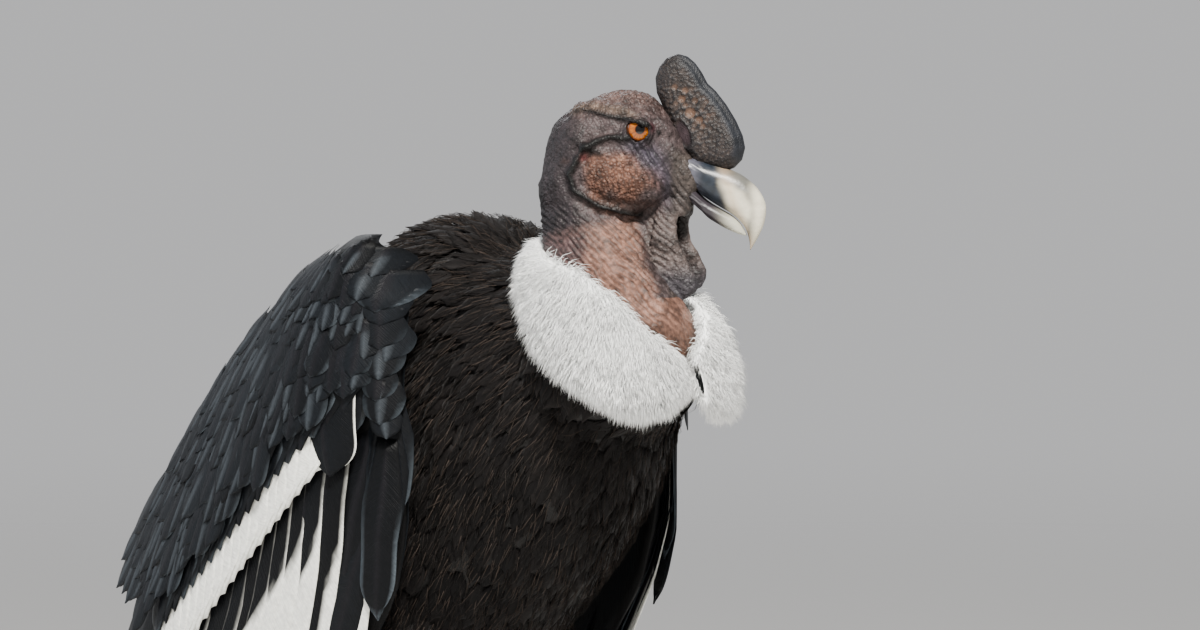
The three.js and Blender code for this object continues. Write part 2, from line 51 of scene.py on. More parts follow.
# The model's layout, in millimetres before its outline is centred: +X forward, +Y to the bird's left
UP = np.array([0.0, 0.0, 1.0])
HEAD_YAW = math.radians(38)
HEAD_CENTRE = np.array([149.0, 12.0, 781.0])
HEAD_FORWARD = np.array([math.cos(HEAD_YAW), math.sin(HEAD_YAW), 0.0])
HEAD_AXES = np.array([HEAD_FORWARD, np.cross(UP, HEAD_FORWARD), UP])
EYE = np.array([19.5, 24.5, 22.5])
EYE_RADIUS = 11.0


def from_head(points):
    return np.asarray(points, dtype=float) @ HEAD_AXES + HEAD_CENTRE


low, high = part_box("eye_right")
SHIFT = (np.array(low) + np.array(high)) / 2 / MM - from_head(EYE * (1, -1, 1))


def placed(points):
    return (np.asarray(points, dtype=float) + SHIFT) * MM


def unit(vectors):
    return vectors / np.maximum(np.linalg.norm(vectors, axis=-1, keepdims=True), 1e-9)


def ramp(start, end, value):
    """From 0 at the start to 1 at the end, level at both."""
    share = np.clip((value - start) / (end - start), 0, 1)
    return share * share * (3 - 2 * share)


def dab(distance, width):
    return np.exp(-np.square(distance / width))


def waves(place, length):
    return np.sin(place * 2 * math.pi / length)


def curve(table, value):
    """A smooth curve through a short table of (position, value) pairs."""
    keys = np.array(table, dtype=float)
    slopes = np.gradient(keys[:, 1], keys[:, 0])
    i = np.clip(np.searchsorted(keys[:, 0], value) - 1, 0, len(keys) - 2)
    span = keys[i + 1, 0] - keys[i, 0]
    t = np.clip((value - keys[i, 0]) / span, 0, 1)
    start = (2 * t**3 - 3 * t**2 + 1) * keys[i, 1] + (t**3 - 2 * t**2 + t) * span * slopes[i]
    return start + (3 * t**2 - 2 * t**3) * keys[i + 1, 1] + (t**3 - t**2) * span * slopes[i + 1]


def curve_through(values, at):
    """A smooth curve through evenly spaced values."""
    return curve(np.stack([np.arange(len(values)), values], axis=1), at)


def straight(table, value):
    keys = np.array(table, dtype=float)
    return np.interp(value, keys[:, 0], keys[:, 1])


def polyline_distance(points, line):
    """Distance of flat points from a polyline, and how far along it the nearest place is."""
    line = np.array(line, dtype=float)
    lengths = np.linalg.norm(np.diff(line, axis=0), axis=1)
    before = np.concatenate([[0], np.cumsum(lengths)])
    best = np.full(points.shape[:-1], np.inf)
    share = np.zeros(points.shape[:-1])
    for a, b, length, start in zip(line[:-1], line[1:], lengths, before):
        t = np.clip(((points - a) @ (b - a)) / length**2, 0, 1)
        away = np.linalg.norm(points - a - t[..., None] * (b - a), axis=-1)
        share = np.where(away < best, (start + t * length) / before[-1], share)
        best = np.minimum(best, away)
    return best, share


LATTICE = 32


def noise(points, scale, seed):
    """Random values from 0 to 1 on a lattice, smooth between its corners."""
    table = np.random.default_rng(seed).random((LATTICE, LATTICE, LATTICE))
    place = np.asarray(points, dtype=float) / scale
    corner = np.floor(place).astype(int)
    t = place - corner
    t = t * t * (3 - 2 * t)
    total = 0.0
    for step in np.ndindex(2, 2, 2):
        weight = np.where(step, t, 1 - t)
        x, y, z = np.moveaxis((corner + step) % LATTICE, -1, 0)
        total = total + weight[..., 0] * weight[..., 1] * weight[..., 2] * table[x, y, z]
    return total


def linear(*value):
    """A colour given as 0 to 255 screen values, as the linear light that the shaders take."""
    share = np.array(value, dtype=float) / 255
    return np.where(share < 0.04045, share / 12.92, ((share + 0.055) / 1.055) ** 2.4)


def mix(a, b, share):
    return np.asarray(a) + (np.asarray(b) - np.asarray(a)) * np.asarray(share)[..., None]


def painted(base, *layers):
    """Tones of many points: a base colour, and layers of (colour, share) laid over it in turn."""
    tone = linear(*base)
    for colour, share in layers:
        tone = mix(tone, linear(*colour), share)
    return tone


# Materials: the painted tone, with a grain and a bump over it
GRAIN_ENDS = (0.3, 0.7)  # most of the noise texture's values lie between these
PEBBLE_ENDS = (0.15, 0.75)  # the same for the cell texture's distances
PEBBLE_DEPTH = 0.0012
BARB_DEPTH = 0.0005


def add_node(tree, kind, sockets, **settings):
    """A shader node; each socket takes a value, or a link from another node's output."""
    made = tree.nodes.new("ShaderNode" + kind)
    for key, value in settings.items():
        setattr(made, key, value)
    for key, given in sockets.items():
        if isinstance(given, bpy.types.NodeSocket):
            tree.links.new(given, made.inputs[key])
        else:
            made.inputs[key].default_value = given
    return made


def map_range(tree, value, ends, results):
    sockets = dict(zip(("From Min", "From Max", "To Min", "To Max"), ends + results))
    return add_node(tree, "MapRange", {"Value": value, **sockets}).outputs["Result"]


def shader(name, roughness, **settings):
    """A material that shows the tones painted on its mesh."""
    look = bpy.data.materials.new(name)
    look.use_nodes = True
    tree = look.node_tree
    surface = tree.nodes["Principled BSDF"]
    surface.inputs["Roughness"].default_value = roughness
    for key, value in settings.items():
        surface.inputs[key.replace("_", " ")].default_value = value
    tone = add_node(tree, "Attribute", {}, attribute_name="tone")
    tree.links.new(tone.outputs["Color"], surface.inputs["Base Color"])
    return look


def work_over(look, share, height, depth):
    """Scales the base colour by a share, and adds a bump to the one that is there."""
    tree = look.node_tree
    surface = tree.nodes["Principled BSDF"]
    colour, normal = surface.inputs["Base Color"], surface.inputs["Normal"]
    scaled = add_node(tree, "VectorMath", {0: colour.links[0].from_socket, "Scale": share}, operation="SCALE")
    tree.links.new(scaled.outputs["Vector"], colour)
    bump = add_node(tree, "Bump", {"Height": height, "Distance": depth})
    if normal.links:
        tree.links.new(normal.links[0].from_socket, bump.inputs["Normal"])
    tree.links.new(bump.outputs["Normal"], normal)


def speckle(look, scale, amount, bump_scale, bump_depth):
    """Fine darker and lighter grain over the painted tone, and a bump of the same kind."""
    tree = look.node_tree
    place = add_node(tree, "NewGeometry", {}).outputs["Position"]
    grain = add_node(tree, "TexNoise", {"Vector": place, "Scale": scale, "Detail": 4.0}).outputs["Fac"]
    relief = add_node(tree, "TexNoise", {"Vector": place, "Scale": bump_scale, "Detail": 3.0}).outputs["Fac"]
    work_over(look, map_range(tree, grain, GRAIN_ENDS, (1 - amount, 1 + amount)), relief, bump_depth)


def pebble(look, scale, between, top):
    """Raised grains with painted light on their tops and painted shade in the lines between them, as strong
    as the painted tone's alpha says.
    """
    tree = look.node_tree
    place = add_node(tree, "NewGeometry", {}).outputs["Position"]
    cells = add_node(tree, "TexVoronoi", {"Vector": place, "Scale": scale}).outputs["Distance"]
    # painted light on the grains' tops, painted shade in the lines between them
    level = map_range(tree, cells, PEBBLE_ENDS, (top, between))
    alpha = tree.nodes["Attribute"].outputs["Alpha"]
    strength = add_node(tree, "Mix", {"Factor": alpha, "A": 1.0, "B": level}).outputs["Result"]
    work_over(look, strength, strength, PEBBLE_DEPTH)


def barb(look, amount):
    """Fine streaks out from a feather's shaft, from the place in the vane that each point carries."""
    tree = look.node_tree
    place = add_node(tree, "Attribute", {}, attribute_name="vane").outputs["Vector"]
    streak = add_node(tree, "TexNoise", {"Vector": place, "Scale": 1.0, "Detail": 3.0}).outputs["Fac"]
    work_over(look, map_range(tree, streak, GRAIN_ENDS, (1 - amount, 1 + amount)), streak, BARB_DEPTH)


def add_object(name, data):
    made = bpy.data.objects.new(name, data)
    bpy.context.scene.collection.objects.link(made)
    return made


def piece(name, points, faces, look, tones, replaces=(), patch=None, vane=None):
    """A mesh of the model from arrays, in millimetres, riding on the one body."""
    mesh = bpy.data.meshes.new(name)
    faces = np.asarray(faces)
    mesh.vertices.add(len(points))
    mesh.vertices.foreach_set("co", placed(points).astype(np.float32).ravel())
    mesh.loops.add(faces.size)
    mesh.loops.foreach_set("vertex_index", faces.ravel().astype(np.int32))
    mesh.polygons.add(len(faces))
    mesh.polygons.foreach_set("loop_start", np.arange(0, faces.size, faces.shape[1], dtype=np.int32))
    mesh.update(calc_edges=True)
    mesh.polygons.foreach_set("use_smooth", np.ones(len(faces), dtype=bool))
    if tones.shape[1] == 3:
        tones = np.pad(tones, ((0, 0), (0, 1)), constant_values=1.0)
    layer = mesh.color_attributes.new("tone", "FLOAT_COLOR", "POINT")
    layer.data.foreach_set("color", tones.astype(np.float32).ravel())
    if vane is not None:
        layer = mesh.attributes.new("vane", "FLOAT_VECTOR", "POINT")
        layer.data.foreach_set("vector", vane.astype(np.float32).ravel())
    if patch is not None:
        layer = mesh.uv_layers.new(name="OFBake")
        layer.data.foreach_set("uv", patch[faces.ravel()].astype(np.float32).ravel())
    mesh.materials.append(look)
    made = add_object(name, mesh)
    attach(made, "root")
    if replaces:
        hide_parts(*replaces)


# Faces of regular grids of points
def grid_faces(rows, columns):
    i, j = np.meshgrid(np.arange(rows - 1), np.arange(columns - 1), indexing="ij")
    a = (i * columns + j).ravel()
    return np.stack([a, a + 1, a + columns + 1, a + columns], axis=1)


def ring_faces(rows, sides):
    """Quads round rows of closed rings."""
    i, j = np.meshgrid(np.arange(rows - 1), np.arange(sides), indexing="ij")
    a, b = (i * sides + j).ravel(), (i * sides + (j + 1) % sides).ravel()
    return np.stack([a, a + sides, b + sides, b], axis=1)


def tube_faces(rows, sides):
    """Quads round rows of rings and across the first and the last ring."""
    faces = [ring_faces(rows, sides)]
    k = np.arange(sides // 2 - 1)
    cap = np.stack([k, k + 1, sides - 2 - k, sides - 1 - k], axis=1)
    return np.concatenate(faces + [cap, cap[:, ::-1] + (rows - 1) * sides])


def ring_of(sides, power=2.0):
    """Cosine and sine round a ring that grows squarer with the power."""
    angle = np.linspace(0, 2 * math.pi, sides, endpoint=False)[None, :]
    return (np.sign(v) * np.abs(v) ** (2 / power) for v in (np.cos(angle), np.sin(angle)))


def repeated(faces, count, size):
    """The faces of one part of so many points, for many like parts that follow one another."""
    return (faces[None] + (np.arange(count) * size)[:, None, None]).reshape(-1, faces.shape[1])


UNWRAP_AXIS = [(0, -50), (200, -60), (400, -70), (640, 60), (860, 150)]  # the body's middle by height
UNWRAP_HEIGHT = 900
UNWRAP_TURN = 0.96  # share of the map's width that one turn takes


def unwrap(points):
    """An unwrap of the body's own shape: round the upright axis by height."""
    x, y, z = points[..., 0], points[..., 1], points[..., 2]
    turn = np.arctan2(y, x - straight(UNWRAP_AXIS, z)) / (2 * math.pi) * UNWRAP_TURN + 0.5
    return np.stack([turn, np.clip(z / UNWRAP_HEIGHT, 0, 0.99)], axis=-1)


# Fields that describe solids, negative inside, in millimetres
def egg_field(p, centre, radii):
    q = p - np.array(centre)
    scaled = np.linalg.norm(q / radii, axis=-1)
    return scaled * (scaled - 1) / np.maximum(np.linalg.norm(q / np.square(radii), axis=-1), 1e-6)


def chain_field(p, keys, squeeze=(1, 1, 1)):
    """A chain of round links: keys of [x, y, z, radius]."""
    keys = np.array(keys, dtype=float)
    scale = np.array(squeeze, dtype=float)
    q = p * scale
    best = np.full(p.shape[:-1], np.inf)
    for a, b in zip(keys[:-1], keys[1:]):
        start, step = a[:3] * scale, (b[:3] - a[:3]) * scale
        t = np.clip(((q - start) @ step) / (step @ step), 0, 1)
        away = np.linalg.norm(q - start - t[..., None] * step, axis=-1)
        best = np.minimum(best, away - (a[3] + (b[3] - a[3]) * t))
    return best


def blend(a, b, soft):
    share = np.clip(0.5 + 0.5 * (b - a) / soft, 0, 1)
    return b + (a - b) * share - soft * share * (1 - share)


def carve(a, b, soft):
    return -blend(-a, b, soft)


def axes_of(low, high, step):
    return [np.arange(a, b, step) for a, b in zip(low, high)]


def surface_of(field, corner, step):
    """The zero surface of a field that was sampled on a regular grid."""
    grid = openvdb.FloatGrid()
    grid.background = float(field.max())
    grid.copyFromArray(np.ascontiguousarray(field.astype(np.float32)))
    points, quads = grid.convertToQuads(0.0)
    return points * step + corner, quads[:, ::-1]


def vertex_normals(points, faces):
    cross = np.cross(points[faces[:, 2]] - points[faces[:, 0]], points[faces[:, 3]] - points[faces[:, 1]])
    total = np.zeros_like(points)
    for k in range(4):
        np.add.at(total, faces[:, k], cross)
    return unit(total)


# Head, neck and lappets: one field in the head's own frame
HEAD_STEP = 1.1
HEAD_LOW = np.array([-76.0, -70.0, -190.0])
HEAD_HIGH = np.array([80.0, 56.0, 64.0])
SKULL_TOP = [(-61, -18), (-58, -6), (-55, 5), (-50, 15), (-42, 27), (-35, 35), (-25, 43), (-15, 48.5),
             (0, 53), (10, 53), (20, 50), (30, 43), (40, 32), (48, 18), (56, 3), (62, -10), (66, -16)]
SKULL_BOTTOM = [(-61, -20), (-58, -30), (-50, -38), (-35, -41), (-15, -42), (15, -42), (30, -37),
                (45, -31), (54, -27), (62, -22), (66, -18)]
SKULL_HALF = [(-61, 3), (-58, 12), (-50, 22), (-38, 29), (-20, 32.5), (5, 33), (18, 31), (28, 27),
              (40, 20.5), (50, 16), (60, 12), (66, 4)]
SKULL_POWER = 2.2
NECK = [(-26, 0, 8, 30), (-26, 1, -12, 33), (-27, 2, -32, 34.5), (-22, 0.5, -59, 38), (-10, -8, -88, 41),
        (-1, -15, -118, 46), (-2, -14, -150, 50), (-8, -14, -182, 50)]
CROP = ((5.0, -19.5, -143.0), (60, 58, 54))
CHEEK = ((9, 17, -14), (34, 17.5, 24))
BROW = [(-36, 38), (-22, 40.5), (-8, 38.4), (6, 35.4), (18, 32), (28, 26.5), (34, 21)]
BROW_FOLD = [(-40, 33), (-30, 37.6), (-22, 36.8), (-10, 33.4), (2, 31), (14, 28.6), (23, 25.4), (30, 20.5)]
GROOVE = [(12, 16.5), (-8, 17), (-19, 13.5), (-29, 7), (-39, -11), (-35, -23), (-15.5, -35.5), (15.5, -41)]
BEFORE_EYE = [(13, 11), (24, 2), (36, -14), (46, -31)]
THROAT = [(32, 0, -24, 17), (26, -2, -42, 18), (16, -5, -62, 16), (10, -12, -90, 16)]
BELOW_COMB = [(50, 4, -6, 8), (51, 5, -22, 6.5), (50, 6, -38, 5)]
NEAR_SHIFT = 0.212  # how far a mark on the side of the head moves forward for each millimetre of width
EYE_OPENING = 8.4
EYE_GAP = 0.15  # clearance between the eyeball and its socket
SKIN_LEVEL = 0.35  # brightness of the painted skin and comb
COMB_LEVEL = 0.25
LID_THICKNESS = 1.9
# The lappets hang as flaps of skin: rows of (z, x, half depth, y, half thickness)
RIGHT_LAPPET = [(-32, 40, 9, -9, 6), (-46, 38, 9, -11.5, 4.2), (-58, 37, 10, -13.5, 3.6),
                (-70, 39, 12.5, -14, 3.6), (-82, 42.5, 15.5, -14, 3.9), (-92, 45, 17.5, -13.5, 4.3),
                (-100, 46, 15, -13, 4.4), (-105, 46, 8, -13, 3.2)]
LEFT_LAPPET = [(-20, 47, 8, 7, 7), (-34, 46, 7.5, 9, 5), (-48, 44, 7.5, 10.5, 4), (-62, 45, 9, 12, 4),
               (-76, 49, 11.5, 12.5, 4.2), (-88, 53, 11.5, 12.5, 4.4), (-97, 52, 9, 12.5, 3.6)]


def skull_ring(x):
    """The skull's middle height, half height and half width at x."""
    top, bottom = curve(SKULL_TOP, x), curve(SKULL_BOTTOM, x)
    return (top + bottom) / 2, (top - bottom) / 2, curve(SKULL_HALF, x)


def skull_side(x, z):
    middle, tall, half = skull_ring(x)
    return half * np.sqrt(1 - np.clip((z - middle) / tall, -0.98, 0.98) ** 2)


def skull_field(p):
    x = np.clip(p[..., 0], SKULL_TOP[0][0], SKULL_TOP[-1][0])
    middle, tall, half = skull_ring(x)
    ring = (np.abs(p[..., 2] - middle) / tall) ** SKULL_POWER + (np.abs(p[..., 1]) / half) ** SKULL_POWER
    return (ring ** (1 / SKULL_POWER) - 1) * np.minimum(tall, half) + np.abs(p[..., 0] - x)


def flap_field(p, rows):
    rows = np.array(rows, dtype=float)[::-1]
    z = np.clip(p[..., 2], rows[0, 0], rows[-1, 0])
    x, deep, y, thick = (curve(rows[:, [0, k]], z) for k in (1, 2, 3, 4))
    away = (np.hypot((p[..., 0] - x) / deep, (p[..., 1] - y) / thick) - 1) * np.minimum(deep, thick)
    return np.hypot(np.maximum(away, 0), p[..., 2] - z) + np.minimum(away, 0)


def folded(p):
    """Points with the head's right side laid over its left."""
    return np.stack([p[..., 0], np.abs(p[..., 1]), p[..., 2]], axis=-1)


def head_field(p):
    side = folded(p)
    f = blend(skull_field(p), chain_field(p, NECK, (1, 1.08, 1)), 12)
    f = blend(f, egg_field(p, *CROP), 16)
    f = np.minimum(f, blend(f, egg_field(side, *CHEEK), 5))
    brow = [(x + 6, skull_side(np.array(x + 6.0), np.array(float(z))) + 0.6, z, 4.6) for x, z in BROW]
    f = blend(f, chain_field(side, brow), 3.5)
    q = side - EYE
    from_eye = np.linalg.norm(q, axis=-1)
    f = blend(f, from_eye - (EYE_RADIUS + LID_THICKNESS), 4)
    f = blend(f, chain_field(p, THROAT, (1, 2.1, 1)), 7)
    for rows in (RIGHT_LAPPET, LEFT_LAPPET):
        f = blend(f, flap_field(p, rows), 1.6)
    f = blend(f, chain_field(side, BELOW_COMB), 5)
    hole = np.hypot(q[..., 0] - 0.15 * q[..., 1], q[..., 2]) - EYE_OPENING
    upper_lid = q[..., 2] + 0.26 * q[..., 0] - 5.4
    hole = np.maximum(np.maximum(hole, upper_lid), -q[..., 1])
    return carve(carve(f, hole, 1.2), from_eye - (EYE_RADIUS + EYE_GAP), 0.4)


def head_mesh():
    axes = axes_of(HEAD_LOW, HEAD_HIGH, HEAD_STEP)
    field = np.empty([len(a) for a in axes], dtype=np.float32)
    for i, x in enumerate(axes[0]):
        field[i] = head_field(np.stack(np.meshgrid([x], *axes[1:], indexing="ij"), axis=-1))[0]
    field[:, :, 0] = np.maximum(field[:, :, 0], 1)
    return surface_of(field, HEAD_LOW, HEAD_STEP)


def head_marks(p, n):
    """Where the head's marks are, as its relief and its tones both need them."""
    x, z = p[:, 0] - NEAR_SHIFT * np.abs(p[:, 1]), p[:, 2]
    flat = np.stack([x, z], axis=-1)
    ear = np.hypot((x + 24) / 9, (z - 9 + 0.35 * (x + 24)) / 4)
    lines = (polyline_distance(flat, line) for line in (BEFORE_EYE, GROOVE, BROW_FOLD))
    return flat, ramp(0.2, 0.6, np.abs(n[:, 1])), ear, *lines


def head_relief(p, marks):
    """Folds, grooves and wrinkles, as a height over the smooth head."""
    flat, sideways, ear, (before, _), (groove, along), (fold, reach) = marks
    x, z = flat.T
    height = -3.4 * dab(groove, 2.4) * sideways * ramp(0, 0.06, along)
    height -= 2.4 * dab(fold, 1.8) * sideways * ramp(0, 0.1, reach)
    height += 1.5 * dab(groove - 5.5, 3.5) * sideways * ramp(0.05, 0.2, along)
    height -= 5.5 * dab(ear, 0.9) * sideways
    height += 1.6 * dab(np.hypot(x + 26, z - 1), 4) * sideways
    # Wrinkles before the eye, over the lower face, round the eye and down the throat
    across = flat @ np.array([0.83, 0.56]) + 2.2 * noise(p, 9, 3)
    height += 1.25 * waves(across, 4.6) * dab(before, 12) * sideways
    cheek_lines = flat @ np.array([0.94, 0.34]) + 4 * noise(p, 12, 4)
    lower_face = dab(np.hypot((x - 8) / 30, (z + 18) / 22), 1.0)
    height += 0.5 * waves(cheek_lines, 3.7) * lower_face * sideways
    from_eye = np.linalg.norm(folded(p) - EYE, axis=-1)
    around = np.hypot(p[:, 0] - EYE[0], z - EYE[2])
    height += 0.5 * waves(around, 2.6) * dab(around - 12, 4) * ramp(18, 14, from_eye)
    throat = ramp(-28, -50, z) * ramp(60, 20, x)
    line = flat @ np.array([0.7, 0.71]) + 9 * noise(p, 22, 5) + 1.6 * noise(p, 5, 6)
    height += (0.25 + 0.95 * noise(p, 9, 14)) * waves(line, 3.9) * throat
    height += 0.35 * waves(flat @ np.array([0.52, 0.85]) + 6 * noise(p, 17, 7), 6.1) * throat
    height += 1.5 * (noise(p, 2.9, 8) - 0.5) * (0.4 + 0.6 * ramp(26, 36, z))
    height += 2.2 * (noise(p, 9, 9) - 0.5)
    return height


def head_tones(p, marks, height):
    """The painted skin, with the pebbles' strength as a fourth value."""
    flat, sideways, ear, (before, _), (groove, _), (fold, reach) = marks
    x, z = flat.T
    blotch = noise(p, 13, 11) - 0.5
    grain = noise(p, 2.2, 12) - 0.5
    crown = ramp(30, 46, z + 8 * blotch)
    nape = ramp(-22, -44, x + 10 * blotch)
    cheek = np.hypot(x / 31, (z + 14) / 21)
    front = ramp(34, 44, x + 5 * blotch) * ramp(14, 0, z)
    beside = 12 - 0.3 * (z + 60)
    neck = ramp(-38, -52, z - 0.25 * np.minimum(x, 0))
    neck = neck * ramp(beside + 8, beside - 4, x + 8 * blotch * (z > -100) - 60 * (z < -104))
    flap = ramp(3.2, 1.2, np.minimum(flap_field(p, RIGHT_LAPPET), flap_field(p, LEFT_LAPPET)))
    flap = flap * ramp(-34, -46, z)
    # where painted shade darkens the recess between the jaw and the lappets
    hollow_shade = ramp(11, 7, np.abs(p[:, 1])) * ramp(14, 26, p[:, 0]) * ramp(-34, -44, z)
    brow, _ = polyline_distance(flat, BROW)
    from_eye = np.linalg.norm(folded(p) - EYE, axis=-1)
    red = np.linalg.norm(folded(p) - (EYE + (10.5, 4, 1.5)), axis=-1)
    tone = painted(
        (94, 80, 80),
        ((140, 110, 102), crown * 0.75),
        ((88, 84, 84), crown * ramp(0.1, 0.4, grain) * 0.7),
        ((52, 45, 49), nape * 0.9),
        ((146, 100, 80), ramp(1.25, 0.35, cheek + 1.3 * blotch) * 0.9),
        # painted highlights: pale flecks where light catches the pebbled cheek
        ((184, 142, 118), ramp(0.15, 0.5, grain) * ramp(1.1, 0.2, cheek + blotch) * 0.6),
        # painted shade under the cheek and jaw
        ((84, 60, 50), ramp(-24, -38, z) * ramp(1.5, 1.0, cheek) * 0.7),
        ((100, 94, 110), dab(before, 9) * 0.8),
        ((98, 88, 82), front * 0.85),
        ((166, 122, 104), neck * 0.95 * ramp(-66, -24, x + 14 * blotch)),
        # the neck's own greyer tone towards its back, darkened further as painted shade on the side away from
        # the light
        ((112, 88, 88), neck * ramp(-10, -42, x + 16 * blotch) * 0.85),
        ((116, 86, 72), ramp(-118, -134, z + 8 * blotch) * 0.7),
        ((116, 102, 98), flap * 0.95),
        ((78, 75, 82), flap * ramp(-74, -94, z) * 0.9),
        # painted shade in the recess between the jaw and the lappets
        ((26, 20, 21), hollow_shade * (z > -108) * 0.85),
        # painted shade along the groove round the cheek
        ((24, 18, 19), dab(groove, 2.6) * 0.9 * sideways),
        # painted shade under the brow fold
        ((22, 17, 18), dab(fold, 1.7) * 0.85 * sideways * ramp(0, 0.15, reach)),
        # painted shade in the ear opening
        ((20, 13, 13), dab(ear, 0.9) * 0.95),
        ((176, 100, 98), dab(np.hypot(x + 28, z - 2), 2.6) * 0.8),
        # painted highlight along the lit top of the brow ridge
        ((164, 138, 118), dab(brow, 3.2) * ramp(20, 4, x) * 0.55 * sideways),
        # painted shade round the eyeball, where the lids close over it
        ((30, 26, 34), dab(from_eye - EYE_RADIUS, 1.7) * 0.9),
        ((112, 44, 58), dab(red, 3.2) * 0.8),
    )
    # painted shade: darker where the relief sinks into grooves, folds and wrinkles
    tone = tone * (1 - 0.62 * ramp(0.6, -1.6, height))[:, None]
    tone = np.clip(SKIN_LEVEL * tone * (1 + 1.3 * grain + 0.5 * blotch)[:, None], 0.003, 1)
    pebbles = 0.35 + 0.55 * crown + 0.45 * ramp(1.2, 0.5, cheek) - 0.25 * neck
    return np.concatenate([tone, np.clip(pebbles, 0.1, 1)[:, None]], axis=1)


head_points, head_faces = head_mesh()
head_normals = vertex_normals(head_points, head_faces)
marks = head_marks(head_points, head_normals)
head_height = head_relief(head_points, marks)
head_shape = from_head(head_points + head_normals * head_height[:, None])
head_colours = head_tones(head_points, marks, head_height)

# Comb: a fleshy plate in the head's middle plane, warty at the sides and smooth along its front rim
COMB_OUTLINE = [(45, 79.6), (37, 76.5), (31.5, 70), (28.5, 62), (29.5, 51), (34, 41), (38, 30), (44, 18),
                (51, 6), (60, -3), (71, -5), (81, -7.5), (88, -5.5), (94, 0), (96.4, 9), (94.6, 18),
                (89.4, 29.5), (82, 41.5), (74, 51.6), (67.5, 57.6), (63, 66), (58, 73), (52, 78)]
COMB_STEP = 0.8
COMB_LOW = np.array([18.0, -18.0, -16.0])
COMB_HIGH = np.array([104.0, 18.0, 88.0])
COMB_ROUND = 13.0
LARGE_WARTS = [(56.0, 35.5, 4.3), (49.5, 46, 3.2), (52, 52.5, 2.8), (63, 30, 3.2), (44, 55, 2.6)]
WART_TRIES = 12000


def outline_depth(flat, outline):
    """Signed distance of flat points from a closed outline, negative inside."""
    outline = np.array(outline, dtype=float)
    away, _ = polyline_distance(flat, np.vstack([outline, outline[:1]]))
    inside = np.zeros(flat.shape[:-1], dtype=bool)
    for (x0, z0), (x1, z1) in zip(outline, np.roll(outline, -1, axis=0)):
        crosses = (z0 > flat[..., 1]) != (z1 > flat[..., 1])
        inside ^= crosses & (flat[..., 0] < x0 + (flat[..., 1] - z0) * (x1 - x0) / (z1 - z0))
    return np.where(inside, -away, away)


def comb_mesh():
    axes = axes_of(COMB_LOW, COMB_HIGH, COMB_STEP)
    x, z = np.meshgrid(axes[0], axes[2], indexing="ij")
    depth = outline_depth(np.stack([x, z], axis=-1), COMB_OUTLINE)
    half = 7.2 + 1.6 * ramp(50, 10, z)
    ring = np.maximum(depth + COMB_ROUND, 0)[:, None, :]
    y = axes[1][None, :, None] * (COMB_ROUND / half)[:, None, :]
    return surface_of(np.hypot(ring, y) - COMB_ROUND, COMB_LOW, COMB_STEP)


def warts(seed):
    """Places and sizes of the warts on one side of the comb."""
    draw = np.random.default_rng(seed)
    found = list(LARGE_WARTS)
    for x, z in draw.uniform((26, -10), (98, 82), (WART_TRIES, 2)):
        middle = dab(np.hypot((x - 58) / 20, (z - 34) / 26), 1.0)
        size = (1.05 + 1.15 * middle) * draw.uniform(0.75, 1.35)
        if all((x - a) ** 2 + (z - b) ** 2 > (0.76 * (size + r)) ** 2 for a, b, r in found):
            found.append((x, z, size))
    return found


def comb_relief(p):
    """The comb's height over its smooth plate, and where it is tan, smooth and in its lower lobe."""
    height, tan = np.zeros(len(p)), np.zeros(len(p))
    x, y, z = p.T
    depth = -outline_depth(p[:, [0, 2]], COMB_OUTLINE)
    front = ramp(-4, 8, (x - 62) + 0.55 * (z - 45))
    smooth_rim = front * ramp(9, 5, depth)
    lobe = np.hypot((x - 51) / 7, (z - 20 - 0.9 * (51 - x)) / 9)
    rough = (1 - smooth_rim) * ramp(0.6, 1.1, lobe) * ramp(0, 2.5, depth)
    for sign, seed in ((-1, 21), (1, 22)):
        side = np.flatnonzero(y * sign > 0)
        for wart_x, wart_z, size in warts(seed):
            near = side[(np.abs(x[side] - wart_x) < size) & (np.abs(z[side] - wart_z) < size)]
            share = np.hypot(x[near] - wart_x, z[near] - wart_z) / size
            dome = np.sqrt(np.clip(1 - share**2, 0, 1))
            height[near] = np.maximum(height[near], 0.46 * size * dome)
            tan[near] = np.maximum(tan[near], dome * ramp(1.8, 3.2, size))
    valley = 1.5 * dab(lobe - 1.05, 0.16) - 0.9 * ramp(1.0, 0.3, lobe)
    rim = 1.3 * dab(depth - 2.5, 2.4) * front
    return height * rough + rim - valley, tan * rough, smooth_rim, lobe


comb_points, comb_faces = comb_mesh()
comb_height, comb_tan, comb_rim, comb_lobe = comb_relief(comb_points)
comb_shape = comb_points + vertex_normals(comb_points, comb_faces) * (comb_height - 0.9)[:, None]
comb_colours = painted(
    (50, 46, 48),
    ((124, 106, 96), np.clip(comb_height * 0.5, 0, 0.8) * (1 - comb_rim)),
    ((176, 130, 102), comb_tan * 0.6),
    ((54, 58, 66), comb_rim * 0.85),
    ((92, 74, 84), ramp(1.0, 0.5, comb_lobe) * 0.7),
)
comb_colours = COMB_LEVEL * comb_colours * (0.6 + 0.8 * noise(comb_points, 4.5, 31))[:, None]

skin_look = shader("skin", 0.5, Specular_IOR_Level=0.2)
speckle(skin_look, 900, 0.25, 620, 0.0006)
pebble(skin_look, 430, 0.45, 1.3)
comb_look = shader("comb", 0.44, Specular_IOR_Level=0.2)
speckle(comb_look, 700, 0.25, 900, 0.0006)
piece("comb_flesh", from_head(comb_shape), comb_faces, comb_look, comb_colours, ["comb"])

# Body under its feathers: the solids of the trunk and thighs as one smooth skin, drawn in by the coat's depth
COAT = 5.0
TRUNK_VOXEL = 7
TRUNK_SMOOTHING = 14


